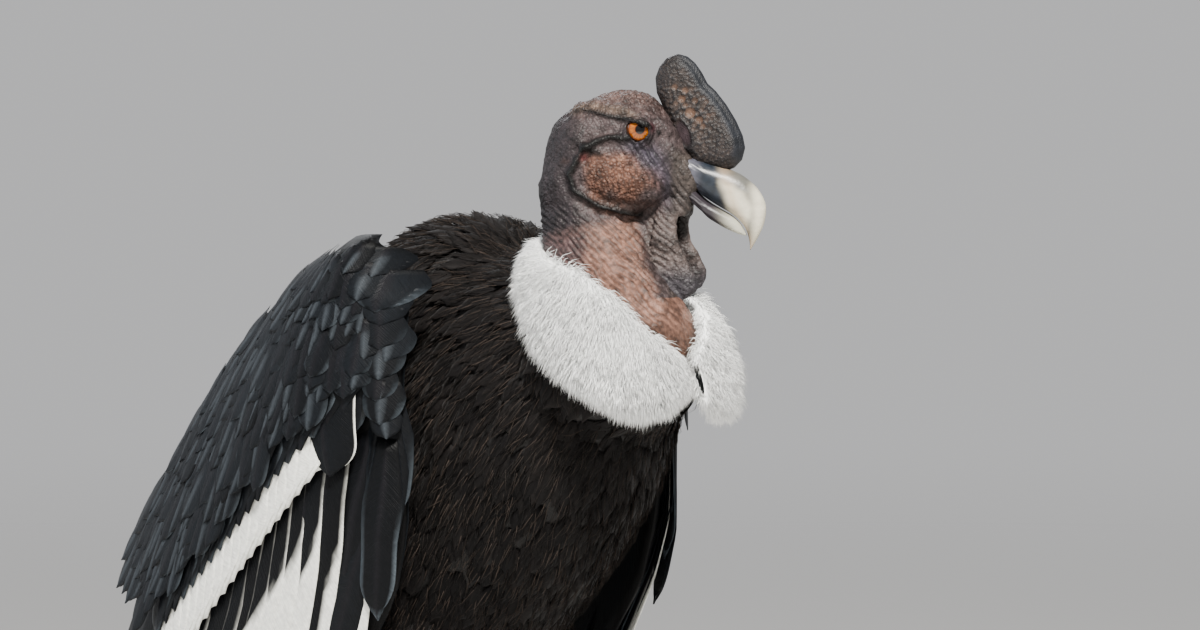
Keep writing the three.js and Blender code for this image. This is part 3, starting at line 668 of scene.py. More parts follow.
def trunk_mesh():
    """The solids joined, remeshed and smoothed, in millimetres of the model's layout."""
    points, faces = [], []
    for node in ("torso", "thigh_left", "thigh_right"):
        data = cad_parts[node].data
        start = len(points)
        points += [tuple(v.co) for v in data.vertices]
        faces += [tuple(start + i for i in face.vertices) for face in data.polygons]
    mesh = bpy.data.meshes.new("trunk")
    mesh.from_pydata(points, [], faces)
    made = add_object("trunk", mesh)
    remesh = made.modifiers.new("remesh", "REMESH")
    remesh.mode = "VOXEL"
    remesh.voxel_size = TRUNK_VOXEL * MM
    smooth = made.modifiers.new("smooth", "SMOOTH")
    smooth.factor = 0.5
    smooth.iterations = TRUNK_SMOOTHING
    shown = made.evaluated_get(bpy.context.evaluated_depsgraph_get()).to_mesh()
    points = np.array([v.co for v in shown.vertices]) / MM - SHIFT
    faces = np.array([face.vertices for face in shown.polygons if len(face.vertices) == 4])
    bpy.data.objects.remove(made)
    return points - vertex_normals(points, faces) * COAT, faces


body_points, body_faces = trunk_mesh()

# Shanks and feet: a field with the toes' pads, then rows of scutes raised on it
ANKLE = np.array([-74.0, 80, 140])
FOOT = np.array([-50.0, 84, 17])
FOOT_ON_FLOOR = FOOT * (1, 1, 0)
TOES = {"inner": (-26, 62, 27), "middle": (-2, 98, 27), "outer": (22, 68, 23), "hind": (172, 36, 22)}
TOE_PADS = [(0, 11), (0.3, 10), (0.42, 8.4), (0.62, 9.2), (0.72, 7.8), (0.92, 8.4), (1, 6.6)]
SHANK = [(*(ANKLE + (-4, 0, 34)), 9), (*(ANKLE + (-2, 0, 14)), 10.5), (*(ANKLE + (-1, 0, 0)), 12),
         (*(ANKLE + (2, 1, -22)), 9.2), (-58, 83, 62, 8.6), (-53, 84, 34, 10), (*(FOOT + (0, 0, 2)), 11.5)]
LEG_STEP = 1.5
LEG_LOW = np.array([-116.0, 46.0, -1.5])
LEG_HIGH = np.array([62.0, 128.0, 172.0])
LIFT_OFF_FLOOR = 0.02


def heading(name):
    angle = math.radians(TOES[name][0])
    return np.array([math.cos(angle), math.sin(angle), 0.0])


def leg_field(p):
    f = chain_field(p, SHANK)
    for name, (_, length, _) in TOES.items():
        places = [(FOOT_ON_FLOOR + heading(name) * share * length, size) for share, size in TOE_PADS]
        f = blend(f, chain_field(p, [(x, y, size - 1.6, size * 0.94) for (x, y, _), size in places]), 4)
    f = blend(f, egg_field(p, (FOOT[0], FOOT[1], 11), (16, 16, 12)), 4)
    return np.maximum(f, 0.25 - p[..., 2])


def leg_mesh():
    field = leg_field(np.stack(np.meshgrid(*axes_of(LEG_LOW, LEG_HIGH, LEG_STEP), indexing="ij"), axis=-1))
    field[:, :, -1] = 1
    return surface_of(field, LEG_LOW, LEG_STEP)


def leg_relief(p, n):
    """Broad scutes down the front and over the toes, and a net of small scales elsewhere."""
    z = p[:, 2]
    away = np.full(len(p), np.inf)
    along = np.zeros(len(p))
    for name, (_, length, _) in TOES.items():
        line = np.array([FOOT_ON_FLOOR, FOOT_ON_FLOOR + heading(name) * (length + 4)])[:, :2]
        near, share = polyline_distance(p[:, :2], line)
        along = np.where(near < away, share * (length + 4), along)
        away = np.minimum(away, near)
    on_toe = ramp(34, 24, z) * ramp(10, 16, along)
    top = ramp(0.25, 0.7, n[:, 2])
    front = ramp(0.1, 0.6, n[:, 0]) * ramp(24, 34, z)
    height = 0.9 * np.abs(np.sin(along * math.pi / 6.4)) * on_toe * top
    height += 0.9 * np.abs(np.sin(z * math.pi / 7.4)) * front
    height += 1.1 * (noise(p, 3.3, 41) - 0.5) * (1 - np.maximum(on_toe * top, front))
    return height * ramp(0.3, 3, z) * ramp(-0.95, -0.6, n[:, 2])


leg_points, leg_faces = leg_mesh()
leg_normals = vertex_normals(leg_points, leg_faces)
leg_height = leg_relief(leg_points, leg_normals)
leg_shape = leg_points + leg_normals * (leg_height - 0.6)[:, None]
leg_shape[:, 2] = np.where(leg_points[:, 2] < 1.2, leg_points[:, 2], leg_shape[:, 2]).clip(LIFT_OFF_FLOOR)
leg_tones = painted(
    (92, 88, 88),
    ((132, 124, 116), ramp(0.2, 1.0, leg_height)),
    # painted shade on the undersides, which face the floor
    ((58, 54, 56), ramp(0.1, -0.6, leg_normals[:, 2]) * 0.7),
)
leg_tones = leg_tones * (0.75 + 0.5 * noise(leg_points, 9, 42))[:, None]

# One skin for the whole bird; the fourth value is the pebbles' strength, low below the neck
PEBBLES_BELOW = 0.15
parts = [
    (head_shape, head_faces, head_colours),
    (body_points, body_faces, np.broadcast_to(linear(20, 18, 18), body_points.shape)),
    (leg_shape, leg_faces, leg_tones),
    (leg_shape * (1, -1, 1), leg_faces[:, ::-1], leg_tones),
]
points, faces, tones = [], [], []
for part_points, part_faces, part_tones in parts:
    faces.append(part_faces + sum(len(before) for before in points))
    points.append(part_points)
    tones.append(np.pad(part_tones, ((0, 0), (0, 4 - part_tones.shape[1])), constant_values=PEBBLES_BELOW))
flesh = ["torso", "neck", "head"]
flesh += [part + "_" + side for part in ("lappet", "thigh", "shank", "foot") for side in ("left", "right")]
piece("skin", np.concatenate(points), np.concatenate(faces), skin_look, np.concatenate(tones), flesh)


# Plates: a front and a back face with a rim between them
def plate_faces(rows, columns):
    front = grid_faces(rows, columns)
    size = rows * columns
    index = np.arange(size).reshape(rows, columns)
    rim = np.concatenate([index[0, :-1], index[:-1, -1], index[-1, :0:-1], index[:0:-1, 0]])
    after = np.roll(rim, -1)
    edge = np.stack([after, rim, rim + size, after + size], axis=1)
    return np.concatenate([front, front[:, ::-1] + size, edge])


def on_both(grid):
    """Values of many plates' points, given for one face and returned for the front and the back face."""
    grid = grid.reshape(len(grid), -1, grid.shape[-1])
    return np.concatenate([grid, grid], axis=1).reshape(-1, grid.shape[-1])


PATCH = 0.003  # width of a plate's own patch on the OFBake map


def plate_patch(roots, rows, columns):
    """Each plate's small patch of the map, at its root's place on the body's unwrap."""
    s, t = np.meshgrid(np.linspace(0, PATCH, rows), np.linspace(0, PATCH, columns), indexing="ij")
    return on_both(unwrap(roots)[:, None, None, :] + np.stack([s, t], axis=-1)[None])


def plate_vane(front):
    """Each point's place in its feather's vane, for the streaks that follow the barbs."""
    count, _, columns = front.shape[:3]
    middle = front[:, :, columns // 2 : columns // 2 + 1]
    out = np.linalg.norm(front - middle, axis=-1)
    steps = np.linalg.norm(np.diff(middle, axis=1), axis=-1)
    run = np.concatenate([np.zeros((count, 1, 1)), np.cumsum(steps, axis=1)], axis=1) + 0 * out
    each = np.arange(count)[:, None, None] * 7.3 + 0 * out
    return on_both(np.stack([(run - 0.9 * out) * 0.9, out * 0.06, each], axis=-1))


def coat_piece(name, layers, look, replaces=()):
    """A piece from layers of plates: front points, back points, tones and roots."""
    points, faces, tones, patches, vane = [], [], [], [], []
    start = 0
    for front, back, tone_grid, roots in layers:
        count, rows, columns = front.shape[:3]
        size = 2 * rows * columns
        points.append(np.stack([front, back], axis=1).reshape(-1, 3))
        faces.append(repeated(plate_faces(rows, columns), count, size) + start)
        start += count * size
        tones.append(on_both(tone_grid))
        patches.append(plate_patch(roots, rows, columns))
        vane.append(plate_vane(front))
    points, faces, tones, patches, vane = map(np.concatenate, (points, faces, tones, patches, vane))
    piece(name, points, faces, look, tones, replaces, patches, vane)


# The folded wing's own flat map, the same as the solid's: p down the wing from the wrist, q up to the back,
# depth in towards the body
BODY_PITCH = math.radians(52)
WRIST = (50.0, 686.0)
DOWN_WING = np.array([-math.cos(BODY_PITCH), -math.sin(BODY_PITCH)])
UP_WING = np.array([-math.sin(BODY_PITCH), math.cos(BODY_PITCH)])
SPREAD = [(-30, 156), (0, 172), (60, 182), (150, 187), (400, 178), (600, 150), (770, 116)]
FRONT_EDGE = [(-28, 0), (0, -26), (57, -70), (142, -128), (190, -146), (770, -160)]
BACK_EDGE = [(-28, 44), (0, 62), (50, 84), (130, 104), (210, 118), (320, 128), (480, 128), (770, 104)]


def on_slope(start, down, up, y):
    """A place so far down the body's slope from a start, and so far up from the slope."""
    x = start[0] + DOWN_WING[0] * down + UP_WING[0] * up
    z = start[1] + DOWN_WING[1] * down + UP_WING[1] * up
    return np.stack(np.broadcast_arrays(x, y, z), axis=-1)


def wing_point(p, q, depth, side):
    front, back = straight(FRONT_EDGE, p), straight(BACK_EDGE, p)
    across = np.clip((2 * q - front - back) / (back - front), -1.6, 1.6)
    inward = np.where(across > 0, 40, 34) * across**2
    return on_slope(WRIST, p, q, side * (straight(SPREAD, p) - inward - depth))


def vane_outline(s, blunt, root):
    """A vane's share of its full width, s along it: narrower at the root, round at the tip."""
    tip = np.clip((s - blunt) / (1 - blunt), 0, 1)
    return np.minimum(1, root + (1 - root) * s / 0.35) * np.sqrt(np.clip(1 - tip**2.2, 0.004, 1))


def vanes(draw, side, roots, tips, width, depth, slant, rows, columns, thick=0.8, bow=0.0, blunt=0.8,
          root=0.45, lift=0.0, narrow_front=0.5, skew=0.0, scatter=0.0, surface=wing_point):
    """Feathers on a flat map: their front and back faces, and the shares along and across them."""
    roots, tips = np.asarray(roots, float), np.asarray(tips, float)
    count = len(roots)
    each = (count, 1, 1)
    s = (1 - (1 - np.linspace(0, 1, rows)) ** 1.25)[None, :, None]
    c = np.linspace(-1, 1, columns)[None, None, :]
    width = np.broadcast_to(np.asarray(width, float), count)[:, None, None]
    depth = np.broadcast_to(np.asarray(depth, float), count)[:, None, None]
    along = (tips - roots)[:, None, None, :]
    length = np.linalg.norm(along, axis=-1)
    ahead = along / length[..., None]
    outline = vane_outline(s, blunt, root)
    out = c * width / 2 * outline * np.where(c < 0, 2 * narrow_front, 2 - 2 * narrow_front)
    sway = bow * length * (4 * s * (1 - s))
    far = length * (s - 0.05 * np.abs(c) ** 2.5 * ramp(0.7, 1, s)) + skew * out * s**2
    p = roots[:, None, None, 0] + ahead[..., 0] * far - ahead[..., 1] * (out + sway)
    q = roots[:, None, None, 1] + ahead[..., 1] * far + ahead[..., 0] * (out + sway)
    crown = 0.05 * width * (1 - c**2) * outline + 0.7 * dab(c, 0.07)
    d = depth + slant * (out + width / 2) - crown - lift * s**3
    d = d + draw.normal(0, 1, each) * scatter * (0.3 + s)
    wave = draw.normal(0, 0.25, each) * np.sin(s * 9 + draw.uniform(0, 6, each))
    d = d + wave * np.abs(c)
    return surface(p, q, d, side), surface(p, q, d + thick, side), s + 0 * out, c + 0 * out


def along_row(first, last, count, power=1.0):
    share = np.linspace(0, 1, count)[:, None] ** power
    return np.array(first, float) + (np.array(last, float) - np.array(first, float)) * share


BLACK = linear(5, 5, 6)
SLATE = linear(15, 18, 22)
FRINGE = linear(66, 73, 79)
WHITE = linear(214, 214, 208)


def dark_vane(draw, s, c, fringe=0.6, sheen=0.6):
    """Blackish feathers with a painted sheen that makes them greyer down the middle of the outer web, and a
    thin worn pale fringe.
    """
    each = (len(s), 1, 1)
    level = draw.uniform(0, 1, each)
    # the slate grey is painted sheen
    tone = mix(BLACK, SLATE, sheen * (0.3 + 0.7 * level) * (1 - 0.5 * np.abs(c)))
    edge = np.maximum(ramp(0.8, 0.99, np.abs(c)), ramp(0.93, 1.0, s))
    worn = draw.uniform(0, 1, each)
    tone = mix(tone, FRINGE, edge * fringe * ramp(0.2, 0.9, worn) * ramp(0.3, 0.7, s))
    tone = mix(tone, linear(18, 17, 20), dab(c, 0.08) * 0.7)
    # painted shade at each feather's root, where it lies under the feathers over it
    return tone * (0.25 + 0.75 * ramp(0, 0.14, s))[..., None]


def white_web(tone, s, c, start, full, limit, end, sharp=1.8):
    """White over the front web, from a point at the start to the whole web, short of the tip."""
    border = -1.02 + (limit + 1.02) * ramp(start, full, s) ** sharp
    return mix(tone, WHITE, ramp(0.06, -0.06, c - border) * ramp(end + 0.02, end - 0.02, s))


SECONDARIES = 18
PRIMARY_COVERTS = 6
ALULA_FEATHERS = 3
GREATER_COVERTS = 20
MEDIAN_COVERTS = 19
PRIMARY_TIPS = np.array([(640, -112), (684, -128), (724, -140), (752, -146), (764, -146), (752, -142),
                         (732, -134), (704, -124), (672, -112), (640, -100)], float) - (18, 0)


def wing_layers(side):
    draw = np.random.default_rng(50 if side > 0 else 60)
    made = []

    def grow_row(tones, **form):
        front, back, s, c = vanes(draw, side, **form)
        made.append((front, back, tones(s, c), front[:, 0, front.shape[2] // 2]))

    # Primaries
    count = len(PRIMARY_TIPS)
    grow_row(lambda s, c: dark_vane(draw, s, c, 0.4, 0.4), roots=along_row((104, -74), (142, -112), count),
             tips=PRIMARY_TIPS, width=44, depth=34 - np.arange(count) * 1.15, slant=0.03, rows=34,
             columns=9, thick=0.9, bow=-0.012, blunt=0.86, narrow_front=0.36)
    # Secondaries, white over most of their outer webs
    count = SECONDARIES
    spot = np.linspace(0, 1, count)[:, None, None]
    web = -0.6 + 0.86 * ramp(0.05, 0.2, spot) - 0.7 * ramp(0.72, 0.82, spot)
    start = 0.13 + 0.27 * ramp(0.1, 0.5, spot) + 0.09 * ramp(0.1, 0, spot)
    grow_row(lambda s, c: white_web(dark_vane(draw, s, c, 0.25, 0.4), s, c, start, start + 0.35, web, 0.9),
             roots=along_row((60, -50), (246, 86), count, 0.75),
             tips=along_row((350, -143), (690, 70), count, 0.75), width=56, depth=14.5, slant=0.16,
             rows=34, columns=13, thick=0.9, bow=-0.055, blunt=0.88, narrow_front=0.42)
    # The primaries' coverts and the alula along the front edge
    count = PRIMARY_COVERTS
    grow_row(lambda s, c: dark_vane(draw, s, c, 0.75, 0.55), roots=along_row((70, -62), (112, -100), count),
             tips=along_row((292, -118), (352, -140), count), width=34, depth=23 - np.arange(count) * 1.6,
             slant=0.08, rows=22, columns=9, bow=-0.02, blunt=0.8, narrow_front=0.4)
    count = ALULA_FEATHERS
    grow_row(lambda s, c: dark_vane(draw, s, c, 0.9, 0.7), roots=along_row((52, -54), (84, -80), count),
             tips=along_row((140, -118), (206, -150), count), width=28, depth=13 - np.arange(count) * 1.4,
             slant=0.1, rows=18, columns=9, bow=-0.03, blunt=0.75, narrow_front=0.45)
    # Greater coverts: the first has no white, and the next ones turn white nearer to their roots
    count = GREATER_COVERTS
    reach = np.linspace(0, 1, count)[:, None, None]
    early = ramp(0.3, 0.0, reach)
    limit = 1.1 - 0.5 * early - 1.7 * (reach < 0.03)
    grow_row(lambda s, c: white_web(dark_vane(draw, s, c, 0.3, 0.5), s, c, 0.36 - 0.2 * early,
                                    0.9 + 0.2 * early, limit, 1.2, 1.8 + 1.4 * early),
             roots=along_row((34, 2), (286, 98), count), tips=along_row((118, -60), (410, 3), count),
             width=42, depth=8.4, slant=0.15, rows=26, columns=13, bow=-0.06, blunt=0.93, lift=0.4,
             skew=0.78)
    # One covert with a narrow white edge, and the median coverts over the white band
    grow_row(lambda s, c: mix(dark_vane(draw, s, c, 0, 0.5), WHITE,
                              ramp(-0.95, -0.99, c) * ramp(0.2, 0.45, s)),
             roots=[(43, -4)], tips=[(132, -67)], width=52, depth=6.5, slant=0.1, rows=26, columns=41,
             bow=0.05, blunt=0.7)
    count = MEDIAN_COVERTS
    grow_row(lambda s, c: dark_vane(draw, s, c, 0.7, 0.9), roots=along_row((18, 16), (262, 110), count),
             tips=along_row((84, -48), (372, 24), count), width=44, depth=4.6, slant=0.13, rows=18,
             columns=9, bow=-0.05, blunt=0.7, lift=0.5, skew=0.5)
    return made


COVERTS_END = [(-28, 6), (0, -16), (28, -40), (69, -14), (110, -8), (340, 64)]


def lesser_coverts(side):
    """Small feathers over the wing's upper part, short and broad at the wrist, long and narrow behind."""
    draw = np.random.default_rng(70 if side > 0 else 80)
    roots, sizes, ways, widths = [], [], [], []
    p = -27.0
    while p < COVERTS_END[-1][0]:
        grown = ramp(-20, 130, p)
        pitch = 10.0 + 3.0 * grown
        front, back = straight(FRONT_EDGE, p), straight(BACK_EDGE, p)
        end = max(front + 8, straight(COVERTS_END, p))
        q = front + 7 + draw.uniform(0, 0.5 * pitch)
        while q < back - 2 - 14 * ramp(30, -10, p):
            if q < end and (q > front + 20 - 0.1 * max(p, 0) or p > 72):
                q += 3
                continue
            share = (q - front) / max(back - front, 1)
            narrow = ramp(0.3, 0.9, share) * ramp(40, 140, p)
            size = (27 + 15 * grown * ramp(0.1, 0.4, share) + 10 * narrow) * draw.uniform(0.85, 1.25)
            roots.append((p + draw.uniform(-3, 3), q))
            sizes.append(size)
            widths.append(size * (0.78 - 0.2 * grown - 0.14 * narrow))
            ways.append(math.radians(-41 + 40 * share + draw.uniform(-10, 10)))
            q += pitch * draw.uniform(0.85, 1.1) * (1 - 0.25 * narrow)
        p += pitch * 1.05
    roots, sizes, ways, widths = (np.array(v) for v in (roots, sizes, ways, widths))
    tips = roots + np.stack([np.cos(ways), np.sin(ways)], axis=1) * sizes[:, None]
    front, back, s, c = vanes(draw, side, roots, tips, width=widths, depth=1.6, slant=0.03, rows=10,
                              columns=7, thick=0.4, blunt=0.45, root=0.6, lift=2.0, scatter=0.5)
    tones = dark_vane(draw, s, c, 0.5, 1.0)
    shaft = dab(c, 0.1) * ramp(0.2, 0.5, s)
    tones = mix(tones, linear(74, 81, 87), shaft * (draw.random((len(s), 1, 1)) > 0.6) * 0.32)
    return [(front, back, tones, front[:, 0, 3])]


def wing_core(side):
    """The closed body of the wing under its feathers."""
    rows, columns = 40, 17
    p = -26 + 666 * np.linspace(0, 1, rows)[:, None] ** 1.6 * np.ones((1, columns))
    cap = np.sqrt(np.clip(1 - (np.maximum(8 - p, 0) / 34.5) ** 2, 0.02, 1))
    t = 0.5 + np.linspace(-0.48, 0.48, columns)[None, :] * cap
    q = straight(FRONT_EDGE, p) * (1 - t) + straight(BACK_EDGE, p) * t
    q = np.where(p > 250, np.maximum(q, -130), q)
    rim = 1 - np.abs(2 * t - 1) ** 4
    outer = 5.0 + 22 * ramp(10, 160, p) + 5 * (1 - cap) + 3 * (1 - rim)
    thin = (24 * (1 - ramp(60, 330, p)) + 3) * cap
    front = wing_point(p, q, outer, side)[None]
    back = wing_point(p, q, outer + thin * rim + 1, side)[None]
    return [(front, back, np.broadcast_to(BLACK * 0.7, front.shape), front[:, 0, columns // 2])]


feather_look = shader("feathers", 0.46, Specular_IOR_Level=0.07, Sheen_Weight=0.015, Sheen_Roughness=0.4,
                      Sheen_Tint=(0.55, 0.68, 0.85, 1))
speckle(feather_look, 260, 0.15, 900, 0.0002)
barb(feather_look, 0.14)
for side, name in SIDES:
    coat_piece("wing_feathers_" + name, wing_layers(side), feather_look,
               replaces=["wing_arm_" + name, "wing_hand_" + name])
    coat_piece("wing_coverts_" + name, wing_core(side) + lesser_coverts(side), feather_look)


# Strands: three-sided spikes that bend once, for the down of the collar and the fine hair-like plumes
STRAND_SIDES = 3
STRAND_POINTS = 7
STRAND_FACES = np.array([[0, 1, 4], [0, 4, 3], [1, 2, 5], [1, 5, 4], [2, 0, 3], [2, 3, 5], [3, 4, 6],
                         [4, 5, 6], [5, 3, 6], [2, 1, 0]])
STRAND_PATCH = np.array([(0, 0), (1, 0), (2, 0), (0, 1.5), (1, 1.5), (2, 1.5), (1, 3)]) / 1000


def strands(roots, ways, lengths, thickness, sag):
    ways = unit(ways)
    across = unit(np.cross(ways, np.array([0.31, 0.52, 0.79])))
    other = np.cross(ways, across)
    middle = roots + ways * (0.55 * lengths)[:, None]
    points = np.empty((len(roots), STRAND_POINTS, 3))
    for k in range(STRAND_SIDES):
        angle = 2 * math.pi * k / STRAND_SIDES
        off = (across * math.cos(angle) + other * math.sin(angle)) * thickness
        points[:, k] = roots + off
        points[:, STRAND_SIDES + k] = middle + off * 0.7
    points[:, -1] = roots + unit(ways + sag) * lengths[:, None]
    return points.reshape(-1, 3), repeated(STRAND_FACES, len(roots), STRAND_POINTS)


def strand_patch(roots):
    return (unwrap(roots)[:, None, :] + STRAND_PATCH[None]).reshape(-1, 2)


# Collar of white down: a plump roll laid along the same edges as the solid's, from the front to the nape
COLLAR_TURN = math.radians(6)
COLLAR_END = math.radians(7)
ROLL = 12.0  # how thick the roll of down stands off its middle surface
STRANDS_EACH = 14000
STRAND_THICKNESS = 0.32
# painted shade at each strand's root, deep in the down, and painted light at its tip
STRAND_PAINTED_SHADE = np.array([0.9, 0.9, 0.9, 0.98, 0.98, 0.98, 1.03])  # darker at the root, lighter at the tip


def collar_edges(turn):
    """The inner and outer edge: the turn is 0 in front and half a circle at the nape."""
    c, s = np.cos(turn), np.sin(turn)
    front, back = ((1 + c) / 2) ** 5, ((1 - c) / 2) ** 3
    notch = dab(turn, math.radians(20))
    rear, far = (1 - c) / 2, np.maximum(0, s)
    inner = np.stack([168 + 62 * c, 54 * s, 706 - 66 * front + 8 * back - 22 * far], axis=-1)
    outer = np.stack([166 + 78 * c + 10 * s**2 * rear, s * (84 - 14 * rear - 6 * far),
                      618 - 42 * c + 22 * notch + 44 * back], axis=-1)
    return inner, outer


def collar_way(turn):
    return turn + COLLAR_TURN * (1 + np.cos(turn)) / 2


def collar_point(turn, share, lift):
    way = collar_way(turn)
    inner, outer = collar_edges(way)
    long = outer - inner
    outward = np.stack([np.cos(way), np.sin(way), np.full_like(way, 0.35)], axis=-1)
    outward = outward - long * (np.sum(outward * long, -1) / np.sum(long * long, -1))[..., None]
    return inner + long * share[..., None] + unit(outward) * lift[..., None]


def roll_point(turn, round_, grow=0.0):
    from_end = np.clip(np.abs(np.abs(turn) - COLLAR_END) / math.radians(20), 0, 1)
    fade = np.sqrt(np.clip(1 - np.square(1 - from_end), 0.05, 1))
    share = 0.46 + (0.40 + grow * 0.012) * np.cos(round_) * (0.55 + 0.45 * fade)
    lift = (ROLL + grow) * fade * np.sin(round_) + 2
    return collar_point(turn, share, lift)


def collar_core(side):
    rows, columns = 60, 24
    turn = side * np.linspace(math.radians(7.2), math.pi, rows)[:, None] * np.ones((1, columns))
    round_ = np.linspace(0, 2 * math.pi, columns, endpoint=False)[None, :] * np.ones((rows, 1))
    faces = ring_faces(rows, columns)[:, ::-side]
    triangles = np.concatenate([faces[:, [0, 1, 2]], faces[:, [0, 2, 3]]])
    return roll_point(turn, round_).reshape(-1, 3), triangles


def collar_down(side, count, seed):
    draw = np.random.default_rng(seed)
    turn = side * draw.uniform(math.radians(8.5), math.pi, count)
    round_ = draw.uniform(0, 2 * math.pi, count)
    outside = draw.random(count) < 0.72
    round_ = np.where(outside, draw.uniform(-0.5, math.pi + 0.3, count), round_)
    small = 0.01
    here = roll_point(turn, round_)
    du = roll_point(turn + small, round_) - here
    dv = roll_point(turn, round_ + small) - here
    normal = unit(np.cross(du, dv))
    centre = roll_point(turn, round_, -8.0)
    normal = normal * np.sign(np.sum(normal * (here - centre), axis=1))[:, None]
    inner, outer = collar_edges(collar_way(turn))
    lie = unit(outer - inner)
    ways = normal * draw.uniform(0.35, 0.8, count)[:, None] + lie * draw.uniform(0.55, 1.0, count)[:, None]
    clump = np.stack([noise(here, 7, seed + k) for k in (1, 2, 3)], axis=1) - 0.5
    ways = unit(ways) + 0.9 * clump + draw.normal(0, 0.2, (count, 3))
    rear = ramp(0.2, 1.0, -np.cos(turn))
    ends = ramp(0, 12, np.degrees(np.abs(turn)) - 6)
    lengths = draw.uniform(10, 18, count) * (1 + 0.5 * (noise(here, 9, seed + 4) - 0.5))
    lengths = lengths * (1 - 0.3 * rear) * (0.6 + 0.4 * ends)
    sag = lie * 0.25 + np.array([0, 0, -0.1])
    points, faces = strands(here - normal * 1.5, ways, lengths, STRAND_THICKNESS, sag)
    shade = draw.uniform(0.86, 1.04, count)[:, None] * STRAND_PAINTED_SHADE
    tones = linear(240, 241, 240) * shade[..., None]
    return points, faces, tones.reshape(-1, 3).clip(0, 0.93), strand_patch(here)


down_look = shader("down", 0.8, Specular_IOR_Level=0.2, Sheen_Weight=0.3, Subsurface_Weight=0.2,
                   Subsurface_Radius=(1, 1, 1), Subsurface_Scale=0.004)
speckle(down_look, 500, 0.05, 900, 0.0002)
for side, name in SIDES:
    points, faces = collar_core(side)
    tones = np.broadcast_to(linear(232, 234, 233), points.shape)
    piece("collar_core_" + name, points, faces, down_look, tones,
          ["collar_%s_%s" % (part, name) for part in ("front", "side", "back")])
    for part in (1, 2):
        points, faces, tones, patch = collar_down(side, STRANDS_EACH, 100 + part + 10 * side)
        piece("collar_down_%s_%d" % (name, part), points, faces, down_look, tones, patch=patch)


# Claws: bent tapering tubes, with (share of the claw, height, half height, half width) at each station
CLAW_RINGS = [(0.15, 8.0, 6.2, 4.9), (0.45, 8.2, 4.9, 3.8), (0.75, 6.0, 3.3, 2.5), (0.97, 2.2, 0.8, 0.7)]


def claw_mesh(length, reach, rows=22, sides=16):
    """A claw on a toe of this length: points ahead, across and up, faces, and shares along it."""
    keys = [(length - 3, 6.6, 6.4, 5.4)] + [(length + reach * share, *ring) for share, *ring in CLAW_RINGS]
    at = np.linspace(0, len(keys) - 1, rows)
    x, z, tall, wide = (curve_through(values, at)[:, None] for values in zip(*keys))
    run = unit(np.concatenate([np.gradient(x, axis=0), np.gradient(z, axis=0)], axis=1))
    c, s = ring_of(sides)
    points = np.stack([x - run[:, 1:] * tall * s, wide * c, z + run[:, :1] * tall * s], axis=-1)
    return points.reshape(-1, 3), tube_faces(rows, sides), np.repeat(at / (len(keys) - 1), sides)


claw_look = shader("claw", 0.38)
speckle(claw_look, 600, 0.25, 500, 0.0003)
for toe, (_, length, reach) in TOES.items():
    points, faces, share = claw_mesh(length, reach)
    ahead = heading(toe)
    across = np.array([-ahead[1], ahead[0], 0.0])
    shape = FOOT_ON_FLOOR + points[:, :1] * ahead + points[:, 1:2] * across + points[:, 2:] * UP
    shape[:, 2] = shape[:, 2].clip(0.05)
    tones = painted((48, 44, 44), ((118, 108, 98), share**2 * 0.7))
    for side, name in SIDES:
        piece("talon_%s_%s" % (toe, name), shape * (1, side, 1), faces[:, ::side], claw_look, tones,
              ["claw_%s_%s" % (toe, name)])

# Bill, in the head's frame: its upper and lower line give each station's height and middle
CULMEN = [(50, 3.5), (62, 0), (71.5, -3), (83, -6.3), (94.8, -11.6), (104, -19), (110, -27), (112.9, -36),
          (111.8, -47), (107, -58.5), (101.2, -68.5)]
TOMIUM = [(46, -12), (52.8, -15), (60, -23), (68, -30), (78, -36), (85, -40), (90.5, -44), (95.5, -49.5),
          (98.6, -56), (100, -62), (100.4, -67.8)]
BILL_HALF = [13.5, 13.5, 13, 12.6, 12, 11, 9.6, 7.8, 5.8, 3.2, 0.5]
JAW_TOP = [(46, -12.8), (53, -15.9), (62, -25.4), (70, -31.8), (79, -37.2), (87, -42.0), (93.6, -48.2),
           (97.8, -55.5)]
JAW_BOTTOM = [(48, -29), (53, -31), (61.5, -37.5), (69, -44.5), (79, -50.5), (86.5, -54.2), (93, -56.8),
              (98.2, -57.8)]
JAW_HALF = [9.5, 10, 9.5, 8.8, 8, 6.4, 4, 1]


def sheath(top, bottom, halves, rows=90, sides=56):
    at = np.linspace(0, len(top) - 1, rows)
    stations = np.column_stack([top, bottom, halves]).T
    top_x, top_z, low_x, low_z, half = (curve_through(values, at)[:, None] for values in stations)
    c, s = ring_of(sides, 2.3)
    share = (1 + s) / 2
    x = low_x + (top_x - low_x) * share
    points = np.stack([x, half * c + 0 * x, low_z + (top_z - low_z) * share], axis=-1)
    return points.reshape(-1, 3), tube_faces(rows, sides)[:, ::-1]


def upper_tones(p):
    border = p[:, 0] - 82.8 + 0.3 * (p[:, 2] + 26) + 5 * (noise(p, 12, 51) - 0.5)
    from_top, _ = polyline_distance(p[:, [0, 2]], CULMEN)
    ridge = ramp(13, 6.5, from_top + 4 * (noise(p, 6, 55) - 0.5)) * ramp(109, 98, p[:, 0])
    pale = ramp(-4, 4, border) * (1 - 0.85 * ridge)
    base = painted((24, 29, 36), ((66, 66, 74), ramp(68, 58, p[:, 0])))
    base = base * (0.5 + noise(p, 2.4, 56))[:, None]
    tone = mix(base, linear(186, 180, 162), pale)
    tone = mix(tone, linear(150, 140, 112), ramp(-44, -66, p[:, 2]) * pale * 0.45)
    return mix(tone, linear(160, 134, 108), dab(border - 5, 4) * 0.4)


def lower_tones(p):
    return painted((40, 36, 40), ((158, 156, 142), ramp(73, 92, p[:, 0] + 6 * (noise(p, 9, 52) - 0.5))))


